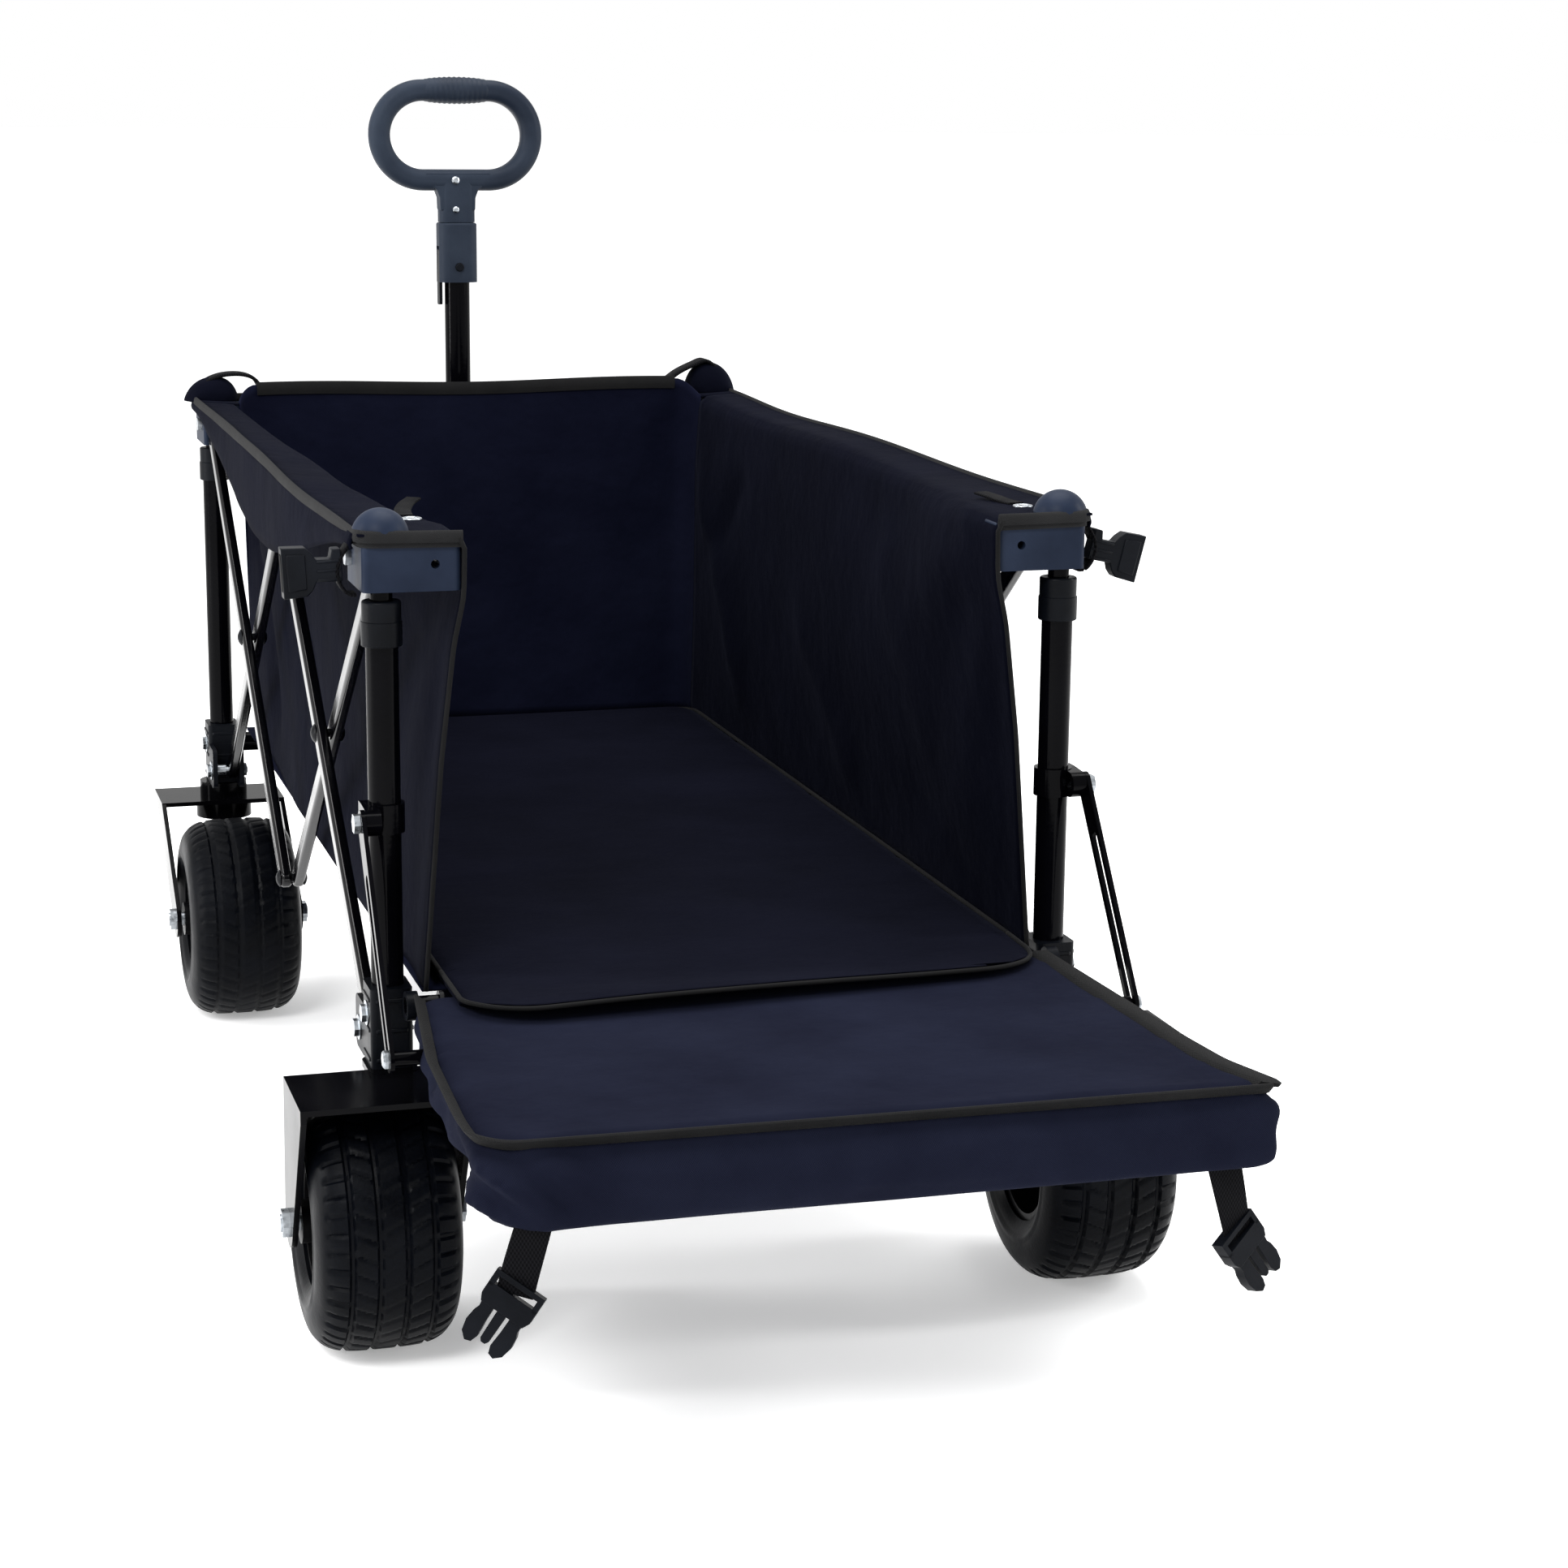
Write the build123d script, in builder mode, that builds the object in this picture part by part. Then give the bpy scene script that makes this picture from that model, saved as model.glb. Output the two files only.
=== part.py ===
"""Folding wagon with a drop-down tailgate and a telescopic pull handle.

X is to the right, Y runs forward to the pull handle and Z is up. The origin is on
the ground, under the middle of the whole wagon with its tailgate open.
"""
from build123d import *
import os
from math import asin, atan2, cos, degrees, hypot, radians, sin

os.makedirs("parts", exist_ok=True)

# Layout
WHEELBASE = 940.0          # rear posts to front posts
REAR_Y = -307.5            # rear posts, which centres the open wagon on the origin
FRONT_Y = REAR_Y + WHEELBASE
POST_X = 240.0

# Corner posts: an outer tube with a collar, and an inner tube that slides in it
POST_R = 11.0
POST_BORE_R = 8.6
INNER_POST_R = 7.5
INNER_POST_BORE_R = 6.2
POST_FOOT_Z = 190.5
POST_TOP_Z = 500.0
INNER_POST_FOOT_Z = 250.0
COLLAR_R = 13.2
COLLAR_FOOT_Z = 478.5
COLLAR_TOP_Z = 509.0
RUNNING = 0.05             # radial clearance of a pin in its hole
FREE = 0.3                 # clearance between sliding pieces

# Scissor arms: two crossed pairs on each side
PIVOT_INSET = 34.0         # from a post to the arm pivots beside it
LOW_PIVOT_Z = 206.0
TOP_PIVOT_Z = 534.0
ARM_WIDTH = 15.0
ARM_THICK = 9.0
ARM_WALL = 1.2
ARM_GAP = 1.4
OUTER_ARM_X = POST_X + (ARM_THICK + ARM_GAP) / 2
INNER_ARM_X = POST_X - (ARM_THICK + ARM_GAP) / 2
ARM_SPAN = WHEELBASE / 2 - PIVOT_INSET
MID_Y = REAR_Y + WHEELBASE / 2
PIN_R = 3.2

# Brackets
BRACKET_IN_X = 225.5
BRACKET_OUT_X = 254.5
BRACKET_SLOT = 20.6        # between the two cheeks that hold the arms
BRACKET_HALF_Y = 15.0
TOP_BRACKET_Z = 516.0
TOP_BRACKET_TOP_Z = 550.0
TOP_BRACKET_IN_X = 188.0
TOP_BRACKET_REACH = 50.0
LOW_BRACKET_TOP_Z = 246.0
CLAMP_BOLT_Z = 226.0
MOUNT_HOLE_X = 206.0
MOUNT_HOLE_R = 3.0

# Wheels
WHEEL_R = 90.0
TYRE_WIDTH = 99.0
TYRE_BORE_R = 46.0
AXLE_R = 6.0
FORK_TOP_Z = 190.0
FORK_THICK = 4.0
FORK_GAP = 107.0
REAR_WHEEL_X = 256.5
REAR_AXLE_BACK = 25.0      # rear axle behind the rear post
CASTER_TRAIL = 136.0       # front axle behind its swivel axis
CASTER_X = 245.0           # front wheels, a little outside their swivel axes
CASTER_TOP_Z = 178.0
KINGPIN_R = 8.0

# Fabric tub
SIDE_WALL_X = 219.5
CLOTH = 3.0
FLOOR_Z = 240.0
FLOOR_THICK = 4.0
MAT_TOP_Z = 256.0
MAT_HALF_X = 205.0
HEM_Z = 552.0
FRONT_RIM_Z = 566.0

# Tailgate
HINGE_BACK = 32.0
HINGE_Z = 238.0
HINGE_TUBE_R = 6.5
TAILGATE_HALF_X = 243.0
TAILGATE_ROOT = 48.0       # behind the rear posts
TAILGATE_END = 378.0
TAILGATE_LOW_Z = 196.0
TAILGATE_TOP_Z = 250.0
STAY_X = 256.5
STAY_THICK = 3.0
STAY_TOP = (-17.0, 362.0)  # behind the rear posts, and height
STAY_LOW = (-116.0, 228.0)
STRAP_X = 217.0
STRAP_BACK = 362.0
STRAP_TOP_Z = 190.0
STRAP_LEAN = 23.0

# Pull handle
HANDLE_Y = FRONT_Y + 38.0
HANDLE_PIVOT_Z = 226.0
HANDLE_TUBE_R = 12.0
HANDLE_BORE_R = 10.3
HANDLE_INNER_R = 9.0
HANDLE_TUBE_TOP_Z = 668.0
HANDLE_COLLAR_Z = (658.5, 714.5)
BUTTON_Z = 673.0
GRIP_Z = (744.5, 848.0)
GRIP_WIDTH = 166.0
GRIP_BAR = 20.0


def save(builder, name):
    """Label a finished piece and write it as its own STEP file."""
    builder.part.label = name
    export_step(builder.part, f"parts/{name}.step")


def side_plane(x, y, z):
    """A plane across the wagon: local x is X and local y is Z."""
    return Plane(origin=(x, y, z), x_dir=(1, 0, 0), z_dir=(0, -1, 0))


def rod(x_from, x_to, y, z, radius, mode=Mode.ADD):
    """A round bar along X, in the current part."""
    with Locations(((x_from + x_to) / 2, y, z)):
        Cylinder(radius, abs(x_to - x_from), rotation=(0, 90, 0), mode=mode)


def hexagon(x_from, x_to, y, z, radius):
    """A hexagonal bolt head or nut along X, in the current part."""
    with BuildSketch(Plane.YZ.offset(x_from)) as outline:
        with Locations((y, z)):
            RegularPolygon(radius, 6)
    extrude(outline.sketch, amount=x_to - x_from)


# ---------------------------------------------------------------- posts
def outer_posts(y):
    with BuildPart() as posts:
        with BuildSketch(Plane.XY.offset(POST_FOOT_Z)):
            with Locations((POST_X, y)):
                Circle(POST_R)
                Circle(POST_BORE_R, mode=Mode.SUBTRACT)
        extrude(amount=POST_TOP_Z - POST_FOOT_Z)
        rod(BRACKET_IN_X, BRACKET_OUT_X, y, CLAMP_BOLT_Z, PIN_R + RUNNING, Mode.SUBTRACT)
        mirror(about=Plane.YZ)
    return posts


def post_collars(y):
    with BuildPart() as collars:
        with BuildSketch(Plane.XY.offset(COLLAR_FOOT_Z)):
            with Locations((POST_X, y)):
                Circle(COLLAR_R)
        extrude(amount=COLLAR_TOP_Z - COLLAR_FOOT_Z)
        fillet(collars.edges().group_by(Axis.Z)[-1], 1.5)
        with BuildSketch(Plane.XY.offset(COLLAR_FOOT_Z)):
            with Locations((POST_X, y)):
                Circle(POST_R + RUNNING)
        extrude(amount=POST_TOP_Z - COLLAR_FOOT_Z, mode=Mode.SUBTRACT)
        with BuildSketch(Plane.XY.offset(COLLAR_FOOT_Z)):
            with Locations((POST_X, y)):
                Circle(INNER_POST_R + FREE)
        extrude(amount=COLLAR_TOP_Z - COLLAR_FOOT_Z, mode=Mode.SUBTRACT)
        mirror(about=Plane.YZ)
    return collars


def inner_posts(y):
    with BuildPart() as posts:
        with BuildSketch(Plane.XY.offset(INNER_POST_FOOT_Z)):
            with Locations((POST_X, y)):
                Circle(INNER_POST_R)
                Circle(INNER_POST_BORE_R, mode=Mode.SUBTRACT)
        extrude(amount=TOP_BRACKET_TOP_Z - 4 - INNER_POST_FOOT_Z)
        mirror(about=Plane.YZ)
    return posts


# ---------------------------------------------------------------- brackets
def top_brackets(y, inward):
    """Corner brackets. inward is +1 at the rear and -1 at the front."""
    reach_y = y + inward * TOP_BRACKET_REACH
    height = TOP_BRACKET_TOP_Z - TOP_BRACKET_Z
    with BuildPart() as brackets:
        with BuildSketch(Plane.XY.offset(TOP_BRACKET_Z)):
            with Locations(((TOP_BRACKET_IN_X + BRACKET_OUT_X) / 2, y)):
                RectangleRounded(BRACKET_OUT_X - TOP_BRACKET_IN_X, 2 * BRACKET_HALF_Y, 5)
            with Locations(((BRACKET_IN_X + BRACKET_OUT_X) / 2, (y + reach_y) / 2)):
                RectangleRounded(BRACKET_OUT_X - BRACKET_IN_X, TOP_BRACKET_REACH, 3)
        extrude(amount=height)
        fillet(brackets.edges().group_by(Axis.Z)[-1], 2)
        slot_start = y + inward * (BRACKET_HALF_Y + 3)
        slot_end = reach_y + inward * 5
        with BuildSketch(Plane.XY.offset(TOP_BRACKET_Z)):
            with Locations((POST_X, (slot_start + slot_end) / 2)):
                Rectangle(BRACKET_SLOT, abs(slot_end - slot_start))
        extrude(amount=height - 5, mode=Mode.SUBTRACT)
        with BuildSketch(Plane.XY.offset(TOP_BRACKET_Z)):
            with Locations((POST_X, y)):
                Circle(INNER_POST_R + RUNNING)
        extrude(amount=height - 4, mode=Mode.SUBTRACT)
        pivot_y = y + inward * PIVOT_INSET
        rod(BRACKET_IN_X - 5, BRACKET_OUT_X + 5, pivot_y, TOP_PIVOT_Z, PIN_R + RUNNING,
            Mode.SUBTRACT)
        with Locations((MOUNT_HOLE_X, y, TOP_PIVOT_Z)):
            Cylinder(MOUNT_HOLE_R, 4 * BRACKET_HALF_Y, rotation=(90, 0, 0), mode=Mode.SUBTRACT)
        mirror(about=Plane.YZ)
    return brackets


def low_brackets(y, inward, with_hinge):
    """Blocks round the posts, with two cheeks for the arms and, behind, a hinge boss."""
    width = BRACKET_OUT_X - BRACKET_IN_X
    height = LOW_BRACKET_TOP_Z - POST_FOOT_Z
    cheek_top = LOW_PIVOT_Z + 22
    with BuildPart() as brackets:
        with BuildSketch(Plane.XY.offset(POST_FOOT_Z)):
            with Locations((POST_X, y)):
                RectangleRounded(width, 34, 4)
        extrude(amount=height)
        with BuildSketch(Plane.YZ.offset(BRACKET_IN_X)):
            with Locations((y + inward * 30, (POST_FOOT_Z + cheek_top) / 2)):
                RectangleRounded(36, cheek_top - POST_FOOT_Z, 6)
        extrude(amount=width)
        slot_start = y + inward * 17.5
        slot_end = y + inward * 60
        with BuildSketch(Plane.XY.offset(POST_FOOT_Z - 1)):
            with Locations((POST_X, (slot_start + slot_end) / 2)):
                Rectangle(BRACKET_SLOT, abs(slot_end - slot_start))
        extrude(amount=height + 2, mode=Mode.SUBTRACT)
        if with_hinge:
            rod(BRACKET_IN_X, BRACKET_IN_X + 8, y - HINGE_BACK, HINGE_Z, 10)
            with Locations((BRACKET_IN_X + 4, y - 24, HINGE_Z - 5)):
                Box(8, 17, 10)
            rod(BRACKET_IN_X - 1, BRACKET_IN_X + 9, y - HINGE_BACK, HINGE_Z,
                HINGE_TUBE_R + RUNNING, Mode.SUBTRACT)
        with BuildSketch(Plane.XY.offset(POST_FOOT_Z)):
            with Locations((POST_X, y)):
                Circle(POST_R + RUNNING)
        extrude(amount=height, mode=Mode.SUBTRACT)
        for hole_y, hole_z in ((y, CLAMP_BOLT_Z), (y + inward * PIVOT_INSET, LOW_PIVOT_Z)):
            rod(BRACKET_IN_X - 1, BRACKET_OUT_X + 1, hole_y, hole_z, PIN_R + RUNNING,
                Mode.SUBTRACT)
        mirror(about=Plane.YZ)
    return brackets


def pivot_bolt(y, z, spacer_x=None):
    """A hexagon bolt and its nut, with a spacer beside the arm where there is one."""
    rod(BRACKET_IN_X - 4.5, BRACKET_OUT_X + 4, y, z, PIN_R)
    hexagon(BRACKET_OUT_X, BRACKET_OUT_X + 4.2, y, z, 6.4)
    hexagon(BRACKET_IN_X - 3.6, BRACKET_IN_X, y, z, 6.4)
    if spacer_x is not None:
        rod(spacer_x - 4.2, spacer_x + 4.2, y, z, 5.5)


def kingpin(y, head_z):
    """The upright pin that holds a fork to its post."""
    with Locations((POST_X, y, (head_z + 222) / 2)):
        Cylinder(KINGPIN_R, 222 - head_z)
    with BuildSketch(Plane.XY.offset(head_z)) as head:
        with Locations((POST_X, y)):
            RegularPolygon(13, 6)
    extrude(head.sketch, amount=4)


def front_lower_bolts():
    with BuildPart() as bolts:
        pivot_bolt(FRONT_Y - PIVOT_INSET, LOW_PIVOT_Z, OUTER_ARM_X + 0.3)
        pivot_bolt(FRONT_Y, CLAMP_BOLT_Z)
        kingpin(FRONT_Y, CASTER_TOP_Z - FORK_THICK - 22)
        mirror(about=Plane.YZ)
        rod(-25, 25, HANDLE_Y, HANDLE_PIVOT_Z, 4)
        hexagon(22, 26.5, HANDLE_Y, HANDLE_PIVOT_Z, 7.5)
        hexagon(-26.5, -22, HANDLE_Y, HANDLE_PIVOT_Z, 7.5)
    return bolts


def rear_lower_bolts():
    top_y = REAR_Y + STAY_TOP[0]
    with BuildPart() as bolts:
        pivot_bolt(REAR_Y + PIVOT_INSET, LOW_PIVOT_Z, INNER_ARM_X - 0.3)
        pivot_bolt(REAR_Y, CLAMP_BOLT_Z)
        kingpin(REAR_Y, 182)
        rod(248, STAY_X + STAY_THICK + 1, top_y, STAY_TOP[1], 4)
        hexagon(STAY_X + STAY_THICK + 0.3, STAY_X + STAY_THICK + 4.5, top_y, STAY_TOP[1], 7)
        mirror(about=Plane.YZ)
    return bolts


def upper_bolts(y, inward, spacer_x):
    with BuildPart() as bolts:
        pivot_bolt(y + inward * PIVOT_INSET, TOP_PIVOT_Z, spacer_x)
        mirror(about=Plane.YZ)
    return bolts


def dome_caps(y):
    radius, edge, height = 19.0, 5.0, 20.5
    centre = (height**2 - radius**2 - edge**2) / (2 * (height - edge))
    start = degrees(atan2(edge - centre, radius))
    with BuildPart() as caps:
        with BuildSketch(side_plane(POST_X, y, TOP_BRACKET_TOP_Z)):
            with BuildLine():
                Polyline((0, height), (0, 0), (radius - 1, 0), (radius, edge))
                CenterArc((0, centre), height - centre, start, 90 - start)
            make_face()
        revolve(axis=Axis((POST_X, y, 0), (0, 0, 1)))
        mirror(about=Plane.YZ)
    return caps


def cross_tube(y, z, half_length, radius, wall):
    with BuildPart() as tube:
        rod(-half_length, half_length, y, z, radius)
        rod(-half_length, half_length, y, z, radius - wall, Mode.SUBTRACT)
    return tube


# ---------------------------------------------------------------- scissor arms
def scissor_arms(x, start, end):
    """A flat-sided tube from one pivot to the other, with a hole at its middle."""
    length = hypot(end[0] - start[0], end[1] - start[1])
    tilt = degrees(atan2(end[1] - start[1], end[0] - start[0]))
    middle = ((start[0] + end[0]) / 2, (start[1] + end[1]) / 2)
    with BuildPart() as arms:
        with BuildSketch(Plane.YZ.offset(x - ARM_THICK / 2)):
            with Locations(middle):
                SlotCenterToCenter(length, ARM_WIDTH, rotation=tilt)
        extrude(amount=ARM_THICK)
        rims = arms.edges().group_by(Axis.X)
        fillet(rims[0] + rims[-1], 3)
        with BuildSketch(Plane.YZ.offset(x - ARM_THICK / 2 + ARM_WALL)):
            with Locations(middle):
                SlotCenterToCenter(length - 36, ARM_WIDTH - 2 * ARM_WALL, rotation=tilt)
        extrude(amount=ARM_THICK - 2 * ARM_WALL, mode=Mode.SUBTRACT)
        for hole_y, hole_z in (start, middle, end):
            rod(x - ARM_THICK, x + ARM_THICK, hole_y, hole_z, PIN_R + RUNNING, Mode.SUBTRACT)
        mirror(about=Plane.YZ)
    return arms


def arm_rivets(centres):
    """Domed rivets through an outer and an inner arm."""
    inside = INNER_ARM_X - ARM_THICK / 2 - 0.2
    outside = OUTER_ARM_X + ARM_THICK / 2 + 0.2
    head_r, head_h = 7.0, 3.0
    ball_r = (head_r**2 + head_h**2) / (2 * head_h)
    spread = degrees(asin(head_r / ball_r))
    with BuildPart() as rivets:
        for y, z in centres:
            rod(inside - 1, outside + 1, y, z, PIN_R)
            for face_x, way, start in ((outside, 1, 0), (inside, -1, 180 - spread)):
                with BuildSketch(side_plane(0, y, z)):
                    with BuildLine():
                        Polyline((face_x + way * head_h, 0), (face_x, 0), (face_x, head_r))
                        CenterArc((face_x + way * (head_h - ball_r), 0), ball_r, start, spread)
                    make_face()
                revolve(axis=Axis((0, y, z), (1, 0, 0)))
        mirror(about=Plane.YZ)
    return rivets


# ---------------------------------------------------------------- wheels and forks
def tyre(x, y):
    half = TYRE_WIDTH / 2
    with BuildPart() as rubber:
        with BuildSketch(side_plane(x, y, WHEEL_R)):
            with BuildLine():
                Line((-half + 6, TYRE_BORE_R), (half - 6, TYRE_BORE_R))
                ThreePointArc((half - 6, TYRE_BORE_R), (half, 64), (half - 7, WHEEL_R - 8))
                ThreePointArc((half - 7, WHEEL_R - 8), (half - 11, WHEEL_R - 3), (half - 20, WHEEL_R - 1))
                ThreePointArc((half - 20, WHEEL_R - 1), (0, WHEEL_R), (-half + 20, WHEEL_R - 1))
                ThreePointArc((-half + 20, WHEEL_R - 1), (-half + 11, WHEEL_R - 3),
                              (-half + 7, WHEEL_R - 8))
                ThreePointArc((-half + 7, WHEEL_R - 8), (-half, 64), (-half + 6, TYRE_BORE_R))
            make_face()
        revolve(axis=Axis((x, y, WHEEL_R), (1, 0, 0)))
    return rubber


def rim(x, y, out):
    """A moulded rim: barrel, ribbed web and hub. out is +1 on the right."""
    web_x = x + out * 14
    with BuildPart() as wheel:
        rod(x - 41, x + 41, y, WHEEL_R, TYRE_BORE_R)
        rod(x - 42, x + 42, y, WHEEL_R, TYRE_BORE_R - 5, Mode.SUBTRACT)
        rod(web_x - 4, web_x + 4, y, WHEEL_R, TYRE_BORE_R - 4)
        for turn in range(6):
            angle = radians(60 * turn + 30)
            rod(web_x - 5, web_x + 5, y + 28 * cos(angle), WHEEL_R + 28 * sin(angle), 8.5,
                Mode.SUBTRACT)
        rod(x - 50, x + 50, y, WHEEL_R, 15)
        rod(x - 51, x + 51, y, WHEEL_R, AXLE_R + RUNNING, Mode.SUBTRACT)
    return wheel


def fork_solid(centre_x, plate_y, top_z, axle_y, arm_front):
    """A bent fork plate with its two arms, added to the current part.

    plate_y holds the plate's back and front edges, and arm_front the front edge of its arms.
    """
    half = FORK_GAP / 2 + FORK_THICK
    back, front = plate_y
    with BuildSketch(Plane.XY.offset(top_z - FORK_THICK)) as plate:
        with Locations((centre_x, (back + front) / 2)):
            Rectangle(2 * half, front - back)
    extrude(plate.sketch, amount=FORK_THICK)
    for arm_x in (centre_x - half, centre_x + half - FORK_THICK):
        with BuildSketch(Plane.YZ.offset(arm_x)) as arm:
            with Locations((axle_y, WHEEL_R)):
                Circle(17)
            with Locations(((back + arm_front) / 2, top_z - 5)):
                Rectangle(arm_front - back, 8)
            make_hull()
        extrude(arm.sketch, amount=FORK_THICK)
    rod(centre_x - half - 1, centre_x + half + 1, axle_y, WHEEL_R, AXLE_R + RUNNING,
        Mode.SUBTRACT)


def rear_forks():
    """Fixed forks, each with a tongue that reaches forward under its post."""
    with BuildPart() as forks:
        fork_solid(REAR_WHEEL_X, (REAR_Y - 94, REAR_Y - 14), FORK_TOP_Z,
                   REAR_Y - REAR_AXLE_BACK, REAR_Y - 14)
        with BuildSketch(Plane.XY.offset(FORK_TOP_Z - FORK_THICK)) as tongue:
            with Locations((POST_X, REAR_Y - 5)):
                RectangleRounded(34, 42, 8)
        extrude(tongue.sketch, amount=POST_FOOT_Z - FORK_TOP_Z + FORK_THICK)
        with Locations((POST_X, REAR_Y, FORK_TOP_Z)):
            Cylinder(KINGPIN_R + RUNNING, 30, mode=Mode.SUBTRACT)
        mirror(about=Plane.YZ)
    return forks


def caster_fork(side):
    """A swivelling fork with its bearing housings above and below the plate."""
    pin_x = side * POST_X
    with BuildPart() as fork:
        fork_solid(side * CASTER_X, (FRONT_Y - 40, FRONT_Y + 27), CASTER_TOP_Z,
                   FRONT_Y - CASTER_TRAIL, FRONT_Y + 8)
        with Locations((pin_x, FRONT_Y, CASTER_TOP_Z + 6)):
            Cylinder(22, 12)
        with Locations((pin_x, FRONT_Y, CASTER_TOP_Z - FORK_THICK - 9)):
            Cylinder(26, 18)
        with Locations((pin_x, FRONT_Y, CASTER_TOP_Z)):
            Cylinder(KINGPIN_R + RUNNING, 60, mode=Mode.SUBTRACT)
    return fork


def axle(x, y):
    """An axle bolt with a nut outside each fork arm."""
    half = FORK_GAP / 2 + FORK_THICK
    with BuildPart() as bolt:
        rod(x - half - 6, x + half + 6, y, WHEEL_R, AXLE_R)
        hexagon(x + half, x + half + 5, y, WHEEL_R, 10)
        hexagon(x - half - 5, x - half, y, WHEEL_R, 10)
    return bolt


def rear_axles():
    half = FORK_GAP / 2 + FORK_THICK
    y = REAR_Y - REAR_AXLE_BACK
    with BuildPart() as bolts:
        rod(REAR_WHEEL_X - half - 6, REAR_WHEEL_X + half + 6, y, WHEEL_R, AXLE_R)
        hexagon(REAR_WHEEL_X + half, REAR_WHEEL_X + half + 5, y, WHEEL_R, 10)
        hexagon(REAR_WHEEL_X - half - 5, REAR_WHEEL_X - half, y, WHEEL_R, 10)
        mirror(about=Plane.YZ)
    return bolts


# ---------------------------------------------------------------- fabric tub
def tub_front_wall():
    with BuildPart() as wall:
        with BuildSketch(Plane.XZ.offset(-(FRONT_Y - 17))):
            with Locations((0, (FLOOR_Z + FLOOR_THICK + FRONT_RIM_Z) / 2)):
                Rectangle(2 * (SIDE_WALL_X - 1.5), FRONT_RIM_Z - FLOOR_Z - FLOOR_THICK)
        extrude(amount=CLOTH)
    return wall


def tub_side_walls():
    foot_z = FLOOR_Z + FLOOR_THICK
    under_bracket = TOP_BRACKET_Z - 3
    rear_end = REAR_Y - 12
    front_end = FRONT_Y - 20.5
    rear_notch = REAR_Y + TOP_BRACKET_REACH + 2
    front_notch = FRONT_Y - TOP_BRACKET_REACH - 2
    with BuildPart() as walls:
        with BuildSketch(Plane.YZ.offset(SIDE_WALL_X)):
            with BuildLine():
                Polyline((rear_end, foot_z), (front_end, foot_z), (front_end, under_bracket),
                         (front_notch, under_bracket), (front_notch, HEM_Z),
                         (rear_notch, HEM_Z), (rear_notch, under_bracket),
                         (rear_end, under_bracket), close=True)
            make_face()
        extrude(amount=CLOTH)
        hem_width = BRACKET_OUT_X + 1.5 - SIDE_WALL_X
        with Locations((SIDE_WALL_X + hem_width / 2, MID_Y, HEM_Z + CLOTH / 2)):
            Box(hem_width, WHEELBASE - 42, CLOTH)
        mirror(about=Plane.YZ)
    return walls


def tub_floor():
    with BuildPart() as floor:
        with BuildSketch(Plane.XY.offset(FLOOR_Z)):
            with Locations((0, (REAR_Y - 10 + FRONT_Y - 21) / 2)):
                Rectangle(2 * SIDE_WALL_X, WHEELBASE - 11)
        extrude(amount=FLOOR_THICK)
    return floor


def floor_mat():
    foot_z = FLOOR_Z + FLOOR_THICK + 0.5
    with BuildPart() as mat:
        with BuildSketch(Plane.XY.offset(foot_z)):
            with Locations((0, (REAR_Y - 10 + FRONT_Y - 22) / 2)):
                Rectangle(2 * MAT_HALF_X, WHEELBASE - 12)
        extrude(amount=MAT_TOP_Z - foot_z)
    return mat


def mat_flap():
    """The end of the mat that lies on the open tailgate."""
    with BuildPart() as flap:
        with BuildSketch(Plane.XY.offset(TAILGATE_TOP_Z + 0.6)):
            with Locations((0, REAR_Y - 54)):
                Rectangle(2 * MAT_HALF_X, 82)
        extrude(amount=MAT_TOP_Z - TAILGATE_TOP_Z - 0.6)
        fillet(flap.edges().filter_by(Axis.Z).group_by(Axis.Y)[0], 45)
    return flap


# ---------------------------------------------------------------- tailgate
def tailgate_frame():
    rail_x = MAT_HALF_X
    rail_z = 224.0
    hinge_y = REAR_Y - HINGE_BACK
    rail_root = REAR_Y - 56
    rail_end = REAR_Y - TAILGATE_END + 14
    with BuildPart() as frame:
        with BuildLine(Plane.XY.offset(rail_z)) as rail:
            FilletPolyline((-rail_x, rail_root), (-rail_x, rail_end), (rail_x, rail_end),
                           (rail_x, rail_root), radius=34)
        with BuildSketch(Plane(origin=rail.line @ 0, z_dir=rail.line % 0)):
            Circle(7)
        sweep()
        rod(-rail_x, rail_x, REAR_Y - 200, rail_z, 5)
        for lug_x in (-rail_x - 6, rail_x - 6):
            with BuildSketch(Plane.YZ.offset(lug_x)):
                with Locations((hinge_y, HINGE_Z)):
                    Circle(9.5)
                with Locations((rail_root, rail_z)):
                    Circle(7)
                make_hull()
            extrude(amount=12)
        for side in (-1, 1):
            rod(side * rail_x, side * (STAY_X - FREE), REAR_Y + STAY_LOW[0], STAY_LOW[1], 5)
        rod(-rail_x - 8, rail_x + 8, hinge_y, HINGE_Z, HINGE_TUBE_R + RUNNING, Mode.SUBTRACT)
    return frame


def tailgate_pad():
    """The padded cover: a box open along its hinge edge, over the tailgate frame."""
    length = TAILGATE_END - TAILGATE_ROOT
    height = TAILGATE_TOP_Z - TAILGATE_LOW_Z
    middle_y = REAR_Y - (TAILGATE_ROOT + TAILGATE_END) / 2
    with BuildPart() as pad:
        with BuildSketch(Plane.XY.offset(TAILGATE_LOW_Z)):
            with Locations((0, middle_y)):
                Rectangle(2 * TAILGATE_HALF_X, length)
        extrude(amount=height)
        fillet(pad.edges().filter_by(Axis.Z).group_by(Axis.Y)[0], 22)
        with BuildSketch(Plane.XY.offset(TAILGATE_LOW_Z + CLOTH)) as hollow:
            with Locations((0, middle_y + CLOTH)):
                Rectangle(2 * (TAILGATE_HALF_X - CLOTH), length)
            fillet(hollow.vertices().group_by(Axis.Y)[0], 19)
        extrude(amount=height - 2 * CLOTH, mode=Mode.SUBTRACT)
        rod(-STAY_X, STAY_X, REAR_Y + STAY_LOW[0], STAY_LOW[1], 6, Mode.SUBTRACT)
    return pad


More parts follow.
